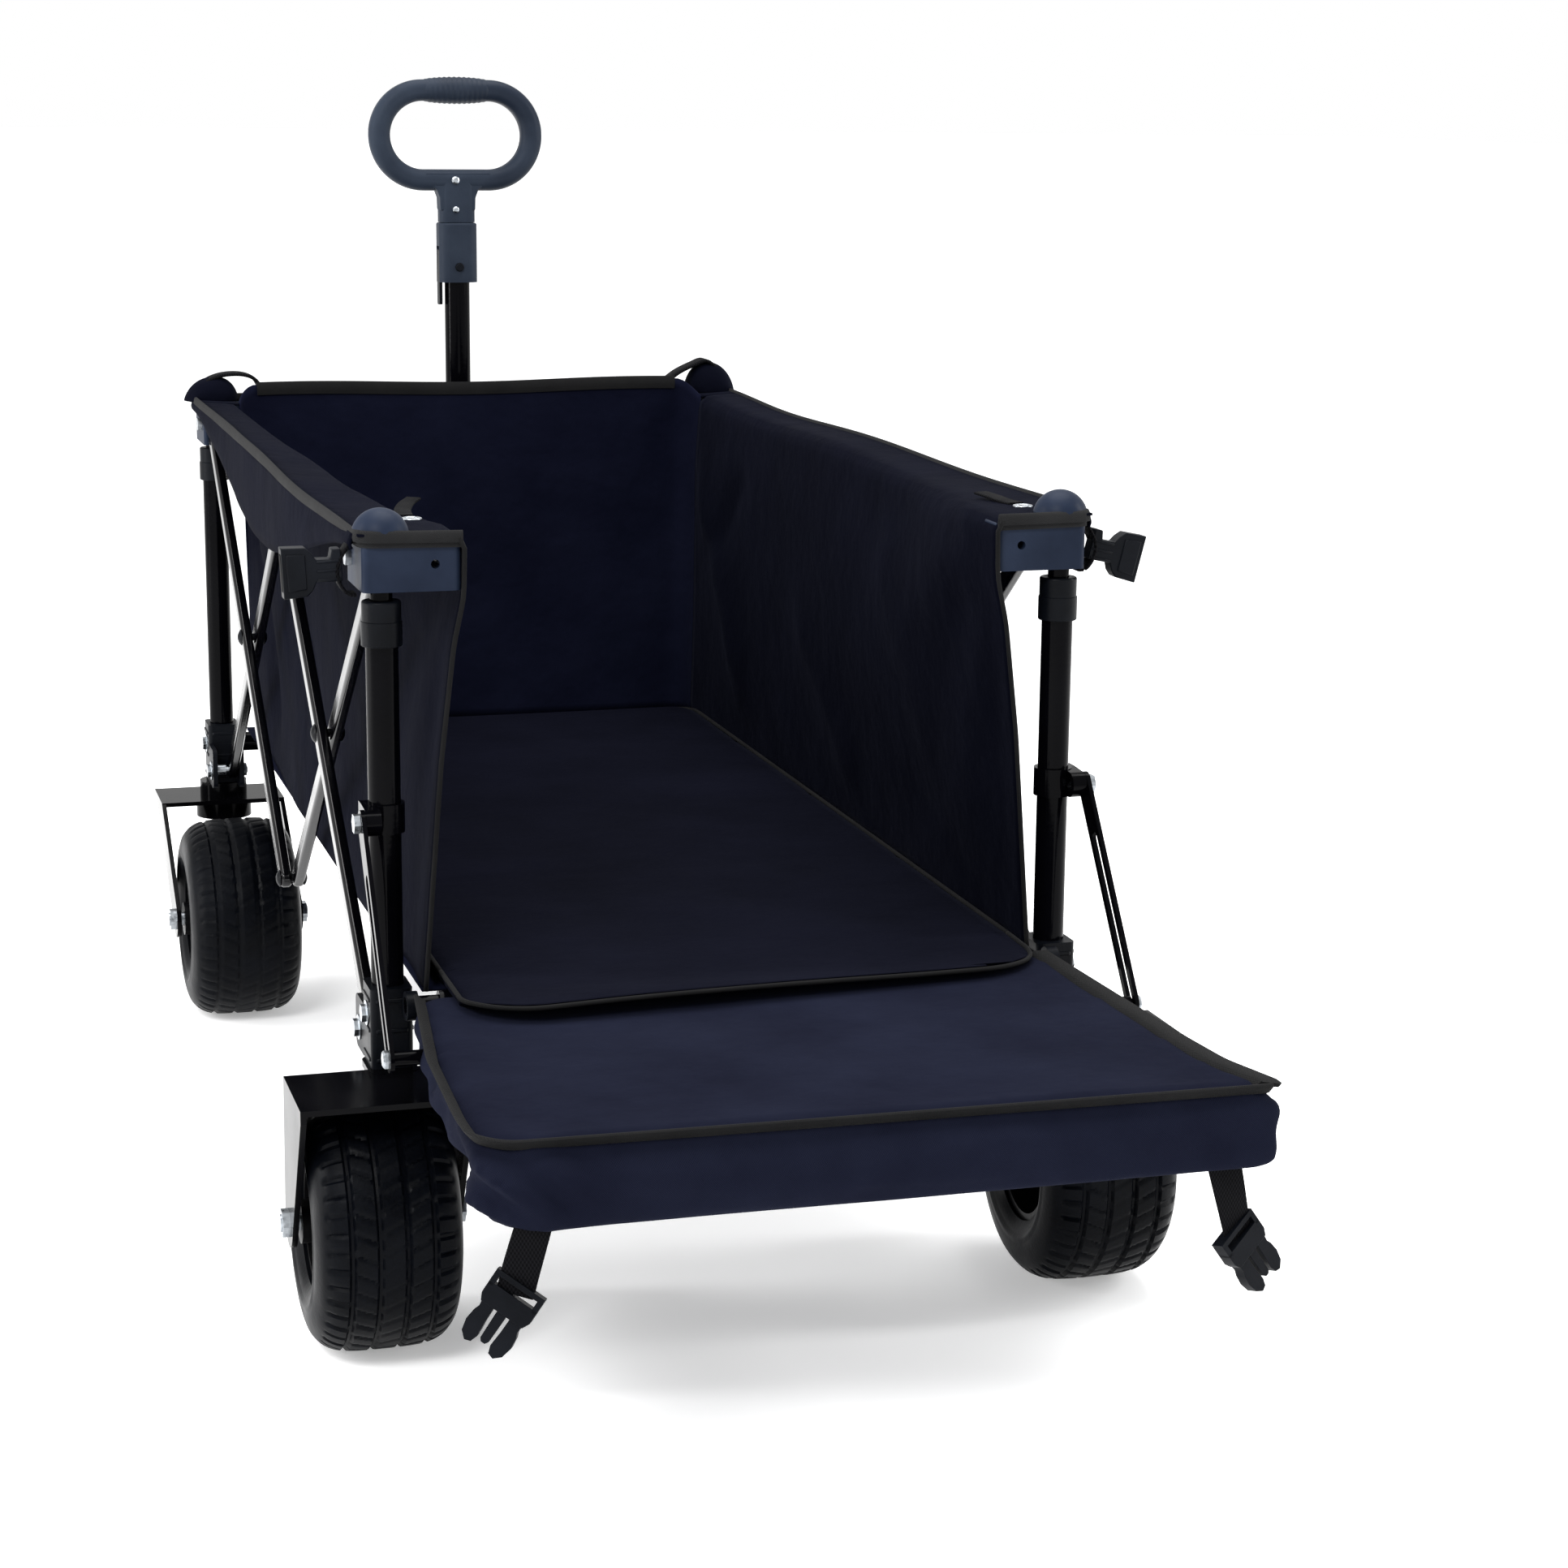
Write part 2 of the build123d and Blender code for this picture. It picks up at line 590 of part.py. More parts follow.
def stay_clamps():
    """Rings on the rear posts, each with an ear for a stay."""
    ear_y = REAR_Y + STAY_TOP[0]
    with BuildPart() as clamps:
        with BuildSketch(Plane.XY.offset(STAY_TOP[1] - 10)):
            with Locations((POST_X, REAR_Y)):
                Circle(POST_R + 2.6)
        extrude(amount=20)
        with BuildSketch(Plane.YZ.offset(246)):
            with Locations((ear_y, STAY_TOP[1])):
                Circle(9)
            with Locations((REAR_Y + 4, STAY_TOP[1])):
                Rectangle(10, 20)
            make_hull()
        extrude(amount=STAY_X - FREE - 246)
        with Locations((POST_X, REAR_Y, STAY_TOP[1])):
            Cylinder(POST_R + RUNNING, 40, mode=Mode.SUBTRACT)
        rod(245, 258, ear_y, STAY_TOP[1], 4 + RUNNING, Mode.SUBTRACT)
        mirror(about=Plane.YZ)
    return clamps


def stay_bars():
    """Slotted bars that let the tailgate down and hold it level."""
    start = (REAR_Y + STAY_TOP[0], STAY_TOP[1])
    end = (REAR_Y + STAY_LOW[0], STAY_LOW[1])
    length = hypot(end[0] - start[0], end[1] - start[1])
    tilt = degrees(atan2(end[1] - start[1], end[0] - start[0]))
    along = Vector(cos(radians(tilt)), sin(radians(tilt)))
    slot_from = Vector(*start) + along * 42
    slot_to = Vector(*end) + along * 1
    with BuildPart() as bars:
        with BuildSketch(Plane.YZ.offset(STAY_X)):
            with Locations(((start[0] + end[0]) / 2, (start[1] + end[1]) / 2)):
                SlotCenterToCenter(length, 18, rotation=tilt)
            with Locations((slot_from + slot_to) * 0.5):
                SlotCenterToCenter((slot_to - slot_from).length, 8.4, rotation=tilt,
                                   mode=Mode.SUBTRACT)
            with Locations(start):
                Circle(4 + RUNNING, mode=Mode.SUBTRACT)
        extrude(amount=STAY_THICK)
        mirror(about=Plane.YZ)
    return bars


def male_strap(side):
    """A short webbing strap with the plug half of a buckle, leaning outward."""
    lean = radians(STRAP_LEAN)
    down = Vector(side * sin(lean), 0, -cos(lean))
    across = Vector(side * cos(lean), 0, sin(lean))
    top = Vector(side * STRAP_X, REAR_Y - STRAP_BACK, STRAP_TOP_Z)
    with BuildPart() as strap:
        with BuildSketch(Plane(origin=top, x_dir=across, z_dir=down)):
            Rectangle(25, 2)
        extrude(amount=30)
        with BuildSketch(Plane(origin=top + down * 30, x_dir=across, z_dir=down)):
            RectangleRounded(32, 10, 3)
        extrude(amount=22)
        with BuildSketch(Plane(origin=top + down * 52, x_dir=across, z_dir=down)):
            with Locations((-10.5, 0), (0, 0), (10.5, 0)):
                RectangleRounded(7, 6, 2)
        extrude(amount=17)
    return strap


def female_buckles():
    """The socket halves of the buckles, sewn to the rear corners with their mouths outward."""
    y = REAR_Y + 8
    with BuildPart() as buckles:
        with BuildSketch(Plane.YZ.offset(BRACKET_OUT_X + 0.2)):
            with Locations((y, 531)):
                Rectangle(3, 20)
        extrude(amount=14)
        with BuildSketch(Plane.YZ.offset(BRACKET_OUT_X + 14)):
            with Locations((y, 529)):
                RectangleRounded(12, 32, 4)
        extrude(amount=36)
        with BuildSketch(Plane.YZ.offset(BRACKET_OUT_X + 26)):
            with Locations((y, 529)):
                Rectangle(8, 26)
        extrude(amount=30, mode=Mode.SUBTRACT)
        mirror(about=Plane.YZ)
    return buckles


# ---------------------------------------------------------------- pull handle
def handle_yoke():
    with BuildPart() as yoke:
        with BuildSketch(Plane.YZ.offset(-22)):
            with Locations((FRONT_Y, HANDLE_PIVOT_Z)):
                Circle(14)
            with Locations((HANDLE_Y, HANDLE_PIVOT_Z)):
                Circle(13)
            make_hull()
        extrude(amount=44)
        with Locations((0, FRONT_Y + 50, HANDLE_PIVOT_Z)):
            Box(28.6, 60, 40, mode=Mode.SUBTRACT)
        rod(-23, 23, FRONT_Y, HANDLE_PIVOT_Z, 9 + RUNNING, Mode.SUBTRACT)
        rod(-23, 23, HANDLE_Y, HANDLE_PIVOT_Z, 4 + RUNNING, Mode.SUBTRACT)
    return yoke


def handle_tube():
    with BuildPart() as tube:
        with Locations((0, HANDLE_Y, (240 + HANDLE_TUBE_TOP_Z) / 2)):
            Cylinder(HANDLE_TUBE_R, HANDLE_TUBE_TOP_Z - 240)
        with Locations((0, HANDLE_Y, (250 + HANDLE_TUBE_TOP_Z) / 2)):
            Cylinder(HANDLE_BORE_R, HANDLE_TUBE_TOP_Z - 250, mode=Mode.SUBTRACT)
        with BuildSketch(Plane.YZ.offset(-13.8)):
            with Locations((HANDLE_Y, HANDLE_PIVOT_Z)):
                Circle(11)
            with Locations((HANDLE_Y, 240)):
                Rectangle(22, 10)
            make_hull()
        extrude(amount=27.6)
        rod(-15, 15, HANDLE_Y, HANDLE_PIVOT_Z, 4 + RUNNING, Mode.SUBTRACT)
    return tube


def handle_collar():
    foot, top = HANDLE_COLLAR_Z
    with BuildPart() as collar:
        with BuildSketch(Plane.XY.offset(foot)):
            with Locations((0, HANDLE_Y)):
                RectangleRounded(37, 30, 10)
        extrude(amount=top - foot)
        fillet(collar.edges().group_by(Axis.Z)[-1], 2)
        with Locations((0, HANDLE_Y, (foot + HANDLE_TUBE_TOP_Z) / 2)):
            Cylinder(HANDLE_TUBE_R + RUNNING, HANDLE_TUBE_TOP_Z - foot, mode=Mode.SUBTRACT)
        with Locations((0, HANDLE_Y, (foot + top) / 2)):
            Cylinder(HANDLE_INNER_R + FREE, top - foot, mode=Mode.SUBTRACT)
        with Locations((-17, HANDLE_Y, 675)):
            Box(5.6, 13.6, 35, mode=Mode.SUBTRACT)
        with Locations((0, HANDLE_Y - 12, BUTTON_Z)):
            Cylinder(4.2, 7, rotation=(90, 0, 0), mode=Mode.SUBTRACT)
    return collar


def handle_inner_tube():
    with BuildPart() as tube:
        with BuildSketch(Plane.XY.offset(330)):
            with Locations((0, HANDLE_Y)):
                Circle(HANDLE_INNER_R)
                Circle(HANDLE_INNER_R - 1.5, mode=Mode.SUBTRACT)
        extrude(amount=740 - 330)
    return tube


def handle_grip():
    foot, top = GRIP_Z
    height = top - foot
    stem_foot = HANDLE_COLLAR_Z[1] + 0.5
    middle_z = (foot + top) / 2
    with BuildPart() as grip:
        with BuildSketch(Plane.XZ.offset(-(HANDLE_Y + 11))):
            with Locations((0, middle_z)):
                SlotOverall(GRIP_WIDTH, height)
                SlotOverall(GRIP_WIDTH - 2 * GRIP_BAR, height - 2 * GRIP_BAR,
                            mode=Mode.SUBTRACT)
        extrude(amount=22)
        fillet(grip.edges(), 8.5)
        with BuildSketch(Plane.XY.offset(stem_foot)):
            with Locations((0, HANDLE_Y)):
                RectangleRounded(34, 22, 7)
        extrude(amount=foot + 10 - stem_foot)
        with Locations((0, HANDLE_Y, (stem_foot + 740) / 2)):
            Cylinder(HANDLE_INNER_R + RUNNING, 740 - stem_foot, mode=Mode.SUBTRACT)
    return grip


def handle_button():
    with BuildPart() as button:
        with Locations((0, HANDLE_Y - 14.5, BUTTON_Z)):
            Cylinder(3.9, 5, rotation=(90, 0, 0))
        fillet(button.edges().group_by(Axis.Y)[0], 0.8)
    return button


def handle_lever():
    with BuildPart() as lever:
        with Locations((-16.7, HANDLE_Y, 663)):
            Box(3, 12, 52)
        fillet(lever.edges().filter_by(Axis.X), 3)
    return lever


def main():
    low_front = (FRONT_Y - PIVOT_INSET, LOW_PIVOT_Z)
    top_front = (FRONT_Y - PIVOT_INSET, TOP_PIVOT_Z)
    low_rear = (REAR_Y + PIVOT_INSET, LOW_PIVOT_Z)
    top_rear = (REAR_Y + PIVOT_INSET, TOP_PIVOT_Z)
    low_middle = (MID_Y, LOW_PIVOT_Z)
    top_middle = (MID_Y, TOP_PIVOT_Z)
    cross_z = (LOW_PIVOT_Z + TOP_PIVOT_Z) / 2
    front_cross = (MID_Y + ARM_SPAN / 2, cross_z)
    rear_cross = (MID_Y - ARM_SPAN / 2, cross_z)

    for end, y, inward in (("front", FRONT_Y, -1), ("rear", REAR_Y, 1)):
        save(outer_posts(y), f"{end}_posts")
        save(post_collars(y), f"{end}_post_collars")
        save(inner_posts(y), f"{end}_inner_posts")
        save(top_brackets(y, inward), f"{end}_top_brackets")
        save(low_brackets(y, inward, end == "rear"), f"{end}_lower_brackets")
        save(dome_caps(y), f"{end}_dome_caps")
    save(upper_bolts(FRONT_Y, -1, INNER_ARM_X - 0.3), "front_upper_bolts")
    save(upper_bolts(REAR_Y, 1, OUTER_ARM_X + 0.3), "rear_upper_bolts")
    save(front_lower_bolts(), "front_lower_bolts")
    save(rear_lower_bolts(), "rear_lower_bolts")
    save(cross_tube(FRONT_Y, HANDLE_PIVOT_Z, BRACKET_IN_X, 9, 1.5), "front_cross_tube")
    save(cross_tube(FRONT_Y, 533, TOP_BRACKET_IN_X, 8, 1.3), "front_top_tube")
    save(cross_tube(REAR_Y - HINGE_BACK, HINGE_Z, BRACKET_IN_X + 8, HINGE_TUBE_R, 2), "hinge_tube")

    save(scissor_arms(OUTER_ARM_X, top_front, low_middle), "front_outer_arms")
    save(scissor_arms(INNER_ARM_X, low_front, top_middle), "front_inner_arms")
    save(scissor_arms(OUTER_ARM_X, top_middle, low_rear), "rear_outer_arms")
    save(scissor_arms(INNER_ARM_X, low_middle, top_rear), "rear_inner_arms")
    save(arm_rivets([front_cross, top_middle]), "front_inner_rivets")
    save(arm_rivets([rear_cross]), "rear_outer_rivets")
    save(arm_rivets([low_middle]), "front_outer_rivets")

    save(rear_forks(), "rear_forks")
    save(rear_axles(), "rear_axles")
    for name, side in (("left", -1), ("right", 1)):
        save(caster_fork(side), f"caster_fork_{name}")
        save(axle(side * CASTER_X, FRONT_Y - CASTER_TRAIL), f"front_axle_{name}")
        places = (("front", CASTER_X, FRONT_Y - CASTER_TRAIL),
                  ("rear", REAR_WHEEL_X, REAR_Y - REAR_AXLE_BACK))
        for end, wheel_x, wheel_y in places:
            save(tyre(side * wheel_x, wheel_y), f"{end}_tyre_{name}")
            save(rim(side * wheel_x, wheel_y, side), f"{end}_rim_{name}")
        save(male_strap(side), f"buckle_strap_{name}")

    save(tub_front_wall(), "tub_front_wall")
    save(tub_side_walls(), "tub_side_walls")
    save(tub_floor(), "tub_floor")
    save(floor_mat(), "floor_mat")
    save(mat_flap(), "mat_flap")
    save(tailgate_frame(), "tailgate_frame")
    save(tailgate_pad(), "tailgate_pad")
    save(stay_clamps(), "stay_clamps")
    save(stay_bars(), "stay_bars")
    save(female_buckles(), "female_buckles")

    save(handle_yoke(), "handle_yoke")
    save(handle_tube(), "handle_tube")
    save(handle_collar(), "handle_collar")
    save(handle_inner_tube(), "handle_inner_tube")
    save(handle_grip(), "handle_grip")
    save(handle_button(), "handle_button")
    save(handle_lever(), "handle_lever")


main()
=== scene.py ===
"""Looks of the folding wagon: fabric tub and tailgate, tyres, buckles, finishes, light and camera.

Units are metres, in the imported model's frame: X right, Y forward to the pull handle, Z up.
"""
import math
from fnmatch import fnmatch

import bpy
import numpy as np
from mathutils import Matrix, Vector, noise


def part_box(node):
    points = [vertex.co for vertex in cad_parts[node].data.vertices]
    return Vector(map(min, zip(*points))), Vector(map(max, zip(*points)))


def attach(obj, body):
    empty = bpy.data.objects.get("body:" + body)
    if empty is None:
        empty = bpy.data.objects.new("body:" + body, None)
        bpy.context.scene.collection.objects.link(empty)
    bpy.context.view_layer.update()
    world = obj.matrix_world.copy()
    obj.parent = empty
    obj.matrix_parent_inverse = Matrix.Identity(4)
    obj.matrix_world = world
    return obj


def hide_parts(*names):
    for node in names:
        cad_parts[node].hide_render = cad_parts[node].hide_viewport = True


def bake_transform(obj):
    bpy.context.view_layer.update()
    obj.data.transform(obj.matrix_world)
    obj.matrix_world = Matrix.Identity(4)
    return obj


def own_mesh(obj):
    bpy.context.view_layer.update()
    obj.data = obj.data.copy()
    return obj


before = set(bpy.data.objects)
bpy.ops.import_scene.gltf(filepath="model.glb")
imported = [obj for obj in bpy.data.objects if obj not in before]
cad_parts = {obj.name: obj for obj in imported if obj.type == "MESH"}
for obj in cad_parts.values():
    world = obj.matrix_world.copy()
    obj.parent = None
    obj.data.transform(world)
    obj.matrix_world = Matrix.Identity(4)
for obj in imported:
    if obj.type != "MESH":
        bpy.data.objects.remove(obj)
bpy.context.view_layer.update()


# ---------------------------------------- places, from the frame where it has them
def centre_y(node):
    low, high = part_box(node)
    return (low.y + high.y) / 2


REAR_Y = centre_y("rear_posts")
FRONT_Y = centre_y("front_posts")
POST_R = (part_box("rear_posts")[1].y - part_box("rear_posts")[0].y) / 2
POST_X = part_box("rear_posts")[1].x - POST_R
MID_Y = (REAR_Y + FRONT_Y) / 2
BRACKET_TOP_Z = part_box("rear_top_brackets")[1].z
BRACKET_OUT_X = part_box("rear_top_brackets")[1].x
BRACKET_IN_X = 0.188
BRACKET_REACH = 0.05        # from the post along the wall
PIVOT_INSET = 0.034         # the arms' lower bolts, from the post's middle
LOW_PIVOT_Z = 0.206
FLOOR_TOP_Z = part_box("tub_floor")[1].z
MAT_TOP_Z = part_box("floor_mat")[1].z
HANDLE_Y = centre_y("handle_tube")


# ---------------------------------------- node trees
class Nodes:
    """One material's node tree, built in short calls."""

    def __init__(self, name):
        self.material = bpy.data.materials.new(name)
        self.material.use_nodes = True
        self.tree = self.material.node_tree
        self.shader = self.tree.nodes["Principled BSDF"]
        self.coordinates = self.add("ShaderNodeTexCoord")
        self.object_space = self.coordinates.outputs["Object"]

    def add(self, kind, values=None, **settings):
        node = self.tree.nodes.new(kind)
        for key, value in settings.items():
            setattr(node, key, value)
        for key, value in (values or {}).items():
            if isinstance(value, bpy.types.NodeSocket):
                self.tree.links.new(value, node.inputs[key])
            else:
                node.inputs[key].default_value = value
        return node

    def finish(self, colour, rough, normal=None, **constants):
        """The material, its shader driven by these outputs and constants; a name's _ is a space."""
        for socket, value in (("Base Color", colour), ("Roughness", rough), ("Normal", normal)):
            if isinstance(value, bpy.types.NodeSocket):
                self.tree.links.new(value, self.shader.inputs[socket])
            elif value is not None:
                self.shader.inputs[socket].default_value = value
        for key, value in constants.items():
            self.shader.inputs[key.replace("_", " ")].default_value = value
        return self.material

    def noise(self, scale, detail=4.0, rough=0.55):
        values = {"Vector": self.object_space, "Scale": scale, "Detail": detail, "Roughness": rough}
        return self.add("ShaderNodeTexNoise", values).outputs["Fac"]

    def ramp(self, value, *stops):
        """From one colour to another, each at its place between 0 and 1."""
        node = self.add("ShaderNodeValToRGB", {"Fac": value})
        for element, (place, colour) in zip(node.color_ramp.elements, stops):
            element.position = place
            element.color = (*colour, 1.0)
        return node.outputs["Color"]

    def spread(self, value, low, high, from_low=0.3, from_high=0.7):
        values = {"Value": value, "From Min": from_low, "From Max": from_high, "To Min": low,
                  "To Max": high}
        return self.add("ShaderNodeMapRange", values).outputs["Result"]

    def mix(self, *parts):
        """The sum of outputs, each times its share."""
        total = None
        for output, share in parts:
            part = self.math("MULTIPLY", output, share)
            total = part if total is None else self.math("ADD", total, part)
        return total

    def math(self, operation, first, second=0.0):
        return self.add("ShaderNodeMath", {0: first, 1: second}, operation=operation).outputs[0]

    def vector(self, operation, first, second=None):
        values = {0: first} if second is None else {0: first, 1: second}
        node = self.add("ShaderNodeVectorMath", values, operation=operation)
        return node.outputs["Value" if operation == "DOT_PRODUCT" else "Vector"]

    def bump(self, height, strength, distance, under=None):
        values = {"Height": height, "Strength": strength, "Distance": distance}
        if under is not None:
            values["Normal"] = under
        return self.add("ShaderNodeBump", values).outputs["Normal"]

    def swizzle(self, vector, order):
        parts = self.add("ShaderNodeSeparateXYZ", {0: vector}).outputs
        values = {i: parts[j] for i, j in enumerate(order)}
        return self.add("ShaderNodeCombineXYZ", values).outputs[0]

    def weave(self, pitch, skew=(1.0, 1.0, 1.0)):
        """Height of a plain weave in whichever plane the surface lies, from 0 to 1."""
        turns = [2 * math.pi / pitch * k for k in skew]
        waves = self.vector("SINE", self.vector("MULTIPLY", self.object_space, turns))
        pairs = self.vector("MULTIPLY", *(self.swizzle(waves, o) for o in ((1, 2, 0), (2, 0, 1))))
        facing = self.vector("ABSOLUTE", self.coordinates.outputs["Normal"])
        facing = self.vector("NORMALIZE", self.vector("MULTIPLY", facing, facing))
        return self.spread(self.vector("DOT_PRODUCT", pairs, facing), 0, 1, -1, 1)


def fabric(name, dark, light):
    """Woven polyester with uneven dye, a soft sheen and shallow crumples, its colour lighter on the
    crumples' crests.
    """
    n = Nodes(name)
    cloud, creased, weave = n.noise(5.5, 5.0), n.noise(13.0), n.weave(0.0014)
    tone = n.mix((cloud, 0.42), (creased, 0.36), (weave, 0.22))
    threads = n.mix((weave, 1.0), (n.noise(900.0, 2.0), 0.5))
    return n.finish(n.ramp(tone, (0.32, dark), (0.66, light)), n.spread(cloud, 0.78, 0.92),
                    n.bump(threads, 0.35, 0.0004, n.bump(creased, 0.55, 0.009)),
                    Sheen_Weight=0.012, Sheen_Roughness=0.4, Sheen_Tint=(0.55, 0.6, 0.95, 1.0),
                    Specular_IOR_Level=0.012)


def tape(name, dark, light):
    """Ribbed grosgrain tape, for bindings and piping."""
    n = Nodes(name)
    ribs, cloud = n.weave(0.0011, (1.0, 0.35, 1.0)), n.noise(24.0)
    tone = n.mix((ribs, 0.45), (cloud, 0.55))
    return n.finish(n.ramp(tone, (0.3, dark), (0.7, light)), n.spread(cloud, 0.66, 0.85),
                    n.bump(ribs, 0.6, 0.0005, n.bump(n.noise(60.0, 3.0), 0.2, 0.002)),
                    Sheen_Weight=0.015, Sheen_Roughness=0.45, Specular_IOR_Level=0.04)


def webbing(name):
    """Black polyester webbing with a close herringbone."""
    n = Nodes(name)
    ribs = n.weave(0.0022, (1.0, 1.0, 0.6))
    return n.finish(n.ramp(ribs, (0.2, (0.002, 0.002, 0.0025)), (0.85, (0.006, 0.006, 0.007))),
                    n.spread(n.noise(40.0, 3.0), 0.55, 0.75), n.bump(ribs, 0.8, 0.0006),
                    Sheen_Weight=0.01, Sheen_Roughness=0.4, Specular_IOR_Level=0.02)


def powder_coat(name, colour=(0.0006, 0.0006, 0.001), rough=(0.08, 0.16), peel=0.05, shine=0.04):
    """Gloss black coat on steel: faint orange peel, and dust that dulls it in patches."""
    n = Nodes(name)
    patches = n.noise(9.0, 5.0)
    dusty = tuple(2.5 * c for c in colour)
    grit = n.bump(n.noise(420.0, 2.0), 0.04, 0.0004)
    return n.finish(n.ramp(patches, (0.42, colour), (0.8, dusty)), n.spread(patches, *rough),
                    n.bump(n.noise(260.0, 2.0), peel, 0.001, grit), Specular_IOR_Level=shine)


def zinc(name):
    """Plated fasteners, a little mottled."""
    n = Nodes(name)
    mottle = n.noise(160.0)
    return n.finish(n.ramp(mottle, (0.35, (0.26, 0.28, 0.3)), (0.7, (0.5, 0.53, 0.56))),
                    n.spread(mottle, 0.22, 0.42), n.bump(n.noise(700.0, 2.0), 0.12, 0.0004),
                    Metallic=1.0)


def plastic(name, dark, light, rough=(0.36, 0.52), grain=0.16):
    """Moulded nylon with a fine leathery grain."""
    n = Nodes(name)
    cloud = n.noise(14.0)
    waves = n.bump(n.noise(35.0, 2.0), 0.1, 0.002)
    return n.finish(n.ramp(cloud, (0.35, dark), (0.68, light)), n.spread(cloud, *rough),
                    n.bump(n.noise(520.0, 3.0), grain, 0.0006, waves), Specular_IOR_Level=0.07)


def tyre_rubber(name, dark, light):
    """Tyre rubber: satin flanks, lighter dust in patches and specks."""
    n = Nodes(name)
    cloud, specks = n.noise(18.0, 5.0), n.noise(380.0, 3.0)
    tone = n.mix((cloud, 0.7), (specks, 0.3))
    return n.finish(n.ramp(tone, (0.4, dark), (0.75, light)), n.spread(cloud, 0.3, 0.52),
                    n.bump(specks, 0.16, 0.0008, n.bump(n.noise(48.0, 2.0), 0.12, 0.002)),
                    Specular_IOR_Level=0.05)


# One navy oxford in four brightnesses, each set to how lit its surfaces look: painted shade darkens
# the side walls, skirts and pockets and the mat, painted light brightens the front wall, floor and
# tailgate cover.
NAVY_SHADED = fabric("navy_oxford", (0.0008, 0.001, 0.0027), (0.0022, 0.0026, 0.0062))
NAVY_INSIDE_LIT = fabric("navy_oxford_inside", (0.0022, 0.0027, 0.0078), (0.0058, 0.0069, 0.0165))
NAVY_MAT_SHADED = fabric("navy_oxford_mat", (0.0015, 0.0017, 0.0038), (0.0034, 0.0037, 0.0078))
NAVY_PAD_LIT = fabric("navy_oxford_pad", (0.0030, 0.0034, 0.0080), (0.0082, 0.0097, 0.0194))
BINDING = tape("grey_binding", (0.0042, 0.0043, 0.0047), (0.0115, 0.0115, 0.0118))
HEM_TAPE = tape("hem_tape", (0.0075, 0.0077, 0.0083), (0.0185, 0.0186, 0.0192))
BLACK_WEB = webbing("black_webbing")
BLACK_COAT = powder_coat("black_powder_coat")
ARM_COAT = powder_coat("black_arm_coat", rough=(0.1, 0.2), shine=0.3)
FORK_COAT = powder_coat("black_fork_coat", (0.0009, 0.0009, 0.0012), (0.1, 0.2), 0.03)
ZINC = zinc("zinc_plate")
SLATE = plastic("slate_nylon", (0.0058, 0.0094, 0.0200), (0.0130, 0.0195, 0.0370))
DARK_NYLON = plastic("dark_nylon", (0.0012, 0.0016, 0.0026), (0.0042, 0.0052, 0.0078), (0.34, 0.5))
GRIP_PLASTIC = plastic("slate_grip", (0.0100, 0.0140, 0.0230), (0.0195, 0.0265, 0.0400),
                       (0.38, 0.55), 0.22)
RUBBER = tyre_rubber("tyre_rubber", (0.0005, 0.0007, 0.0013), (0.0018, 0.0024, 0.0042))
RIM_PLASTIC = plastic("rim_plastic", (0.0012, 0.0012, 0.0016), (0.0038, 0.0038, 0.0044),
                      (0.28, 0.42), 0.1)
# Near-black plastic for the buckle sockets' mouths: painted shade standing in for the dark inside
# of the opening.
MOUTH_PAINTED_SHADE = plastic("socket_mouth_painted_shade", (0.0006, 0.0006, 0.0008), (0.0012, 0.0012, 0.0014), (0.6, 0.8))

# The CAD nodes that stay as they are, by patterns of their names
NODE_FINISHES = (
    (ARM_COAT, "*_arms"),
    (BLACK_COAT, "*_posts *_tube tailgate_frame stay_*"),
    (FORK_COAT, "rear_forks caster_fork_*"),
    (ZINC, "*_bolts *_axle*"),
    (DARK_NYLON, "*_rivets *_lower_brackets *_post_collars handle_yoke handle_button handle_lever"),
    (SLATE, "*_top_brackets *_dome_caps"),
    (GRIP_PLASTIC, "handle_grip handle_collar"),
    (RIM_PLASTIC, "*_rim_*"),
)
for material, patterns in NODE_FINISHES:
    for name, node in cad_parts.items():
        if any(fnmatch(name, pattern) for pattern in patterns.split()):
            node.data.materials.clear()
            node.data.materials.append(material)


# ---------------------------------------- mesh building
def lerp(a, b, t):
    return a + (b - a) * t


def spaced(a, b, count):
    """The ends of that many equal steps from a to b."""
    return [lerp(a, b, k / count) for k in range(count + 1)]


def clamp(value, low=0.0, high=1.0):
    return max(low, min(high, value))


def ease(value, start, end):
    """Smooth step from 0 at start to 1 at end."""
    t = clamp((value - start) / (end - start))
    return t * t * (3 - 2 * t)


def hump(t):
    """From 0 up to 1 in the middle and back, for t from 0 to 1."""
    return math.sin(math.pi * t)


def bell(distance, width):
    return math.exp(-(distance / width) ** 2)


def crumple(x, y, z):
    """The same unevenness on every run, from -1 to 1."""
    return noise.noise(Vector((x, y, z)))


def curve_through(points, per=8):
    """A smooth line through the points."""
    points = [Vector(p) for p in points]
    last = len(points) - 1
    line = []
    for i in range(last):
        a, b, c, d = (points[clamp(i + k, 0, last)] for k in (-1, 0, 1, 2))
        for step in range(per):
            t = step / per
            line.append(0.5 * (2 * b + (c - a) * t + (2 * a - 5 * b + 4 * c - d) * t * t
                               + (3 * b - a - 3 * c + d) * t ** 3))
    return line + [points[last]]


def rounded_line(points, radius, steps=6):
    """The polyline with its inner corners turned into arcs of about that radius."""
    points = [Vector(p) for p in points]
    line = [points[0]]
    for before, corner, after in zip(points, points[1:], points[2:]):
        cut = min(radius, (corner - before).length / 2, (after - corner).length / 2)
        a = corner + (before - corner).normalized() * cut
        b = corner + (after - corner).normalized() * cut
        for step in range(steps + 1):
            t = step / steps
            line.append(a.lerp(corner, t).lerp(corner.lerp(b, t), t))
    line.append(points[-1])
    return line


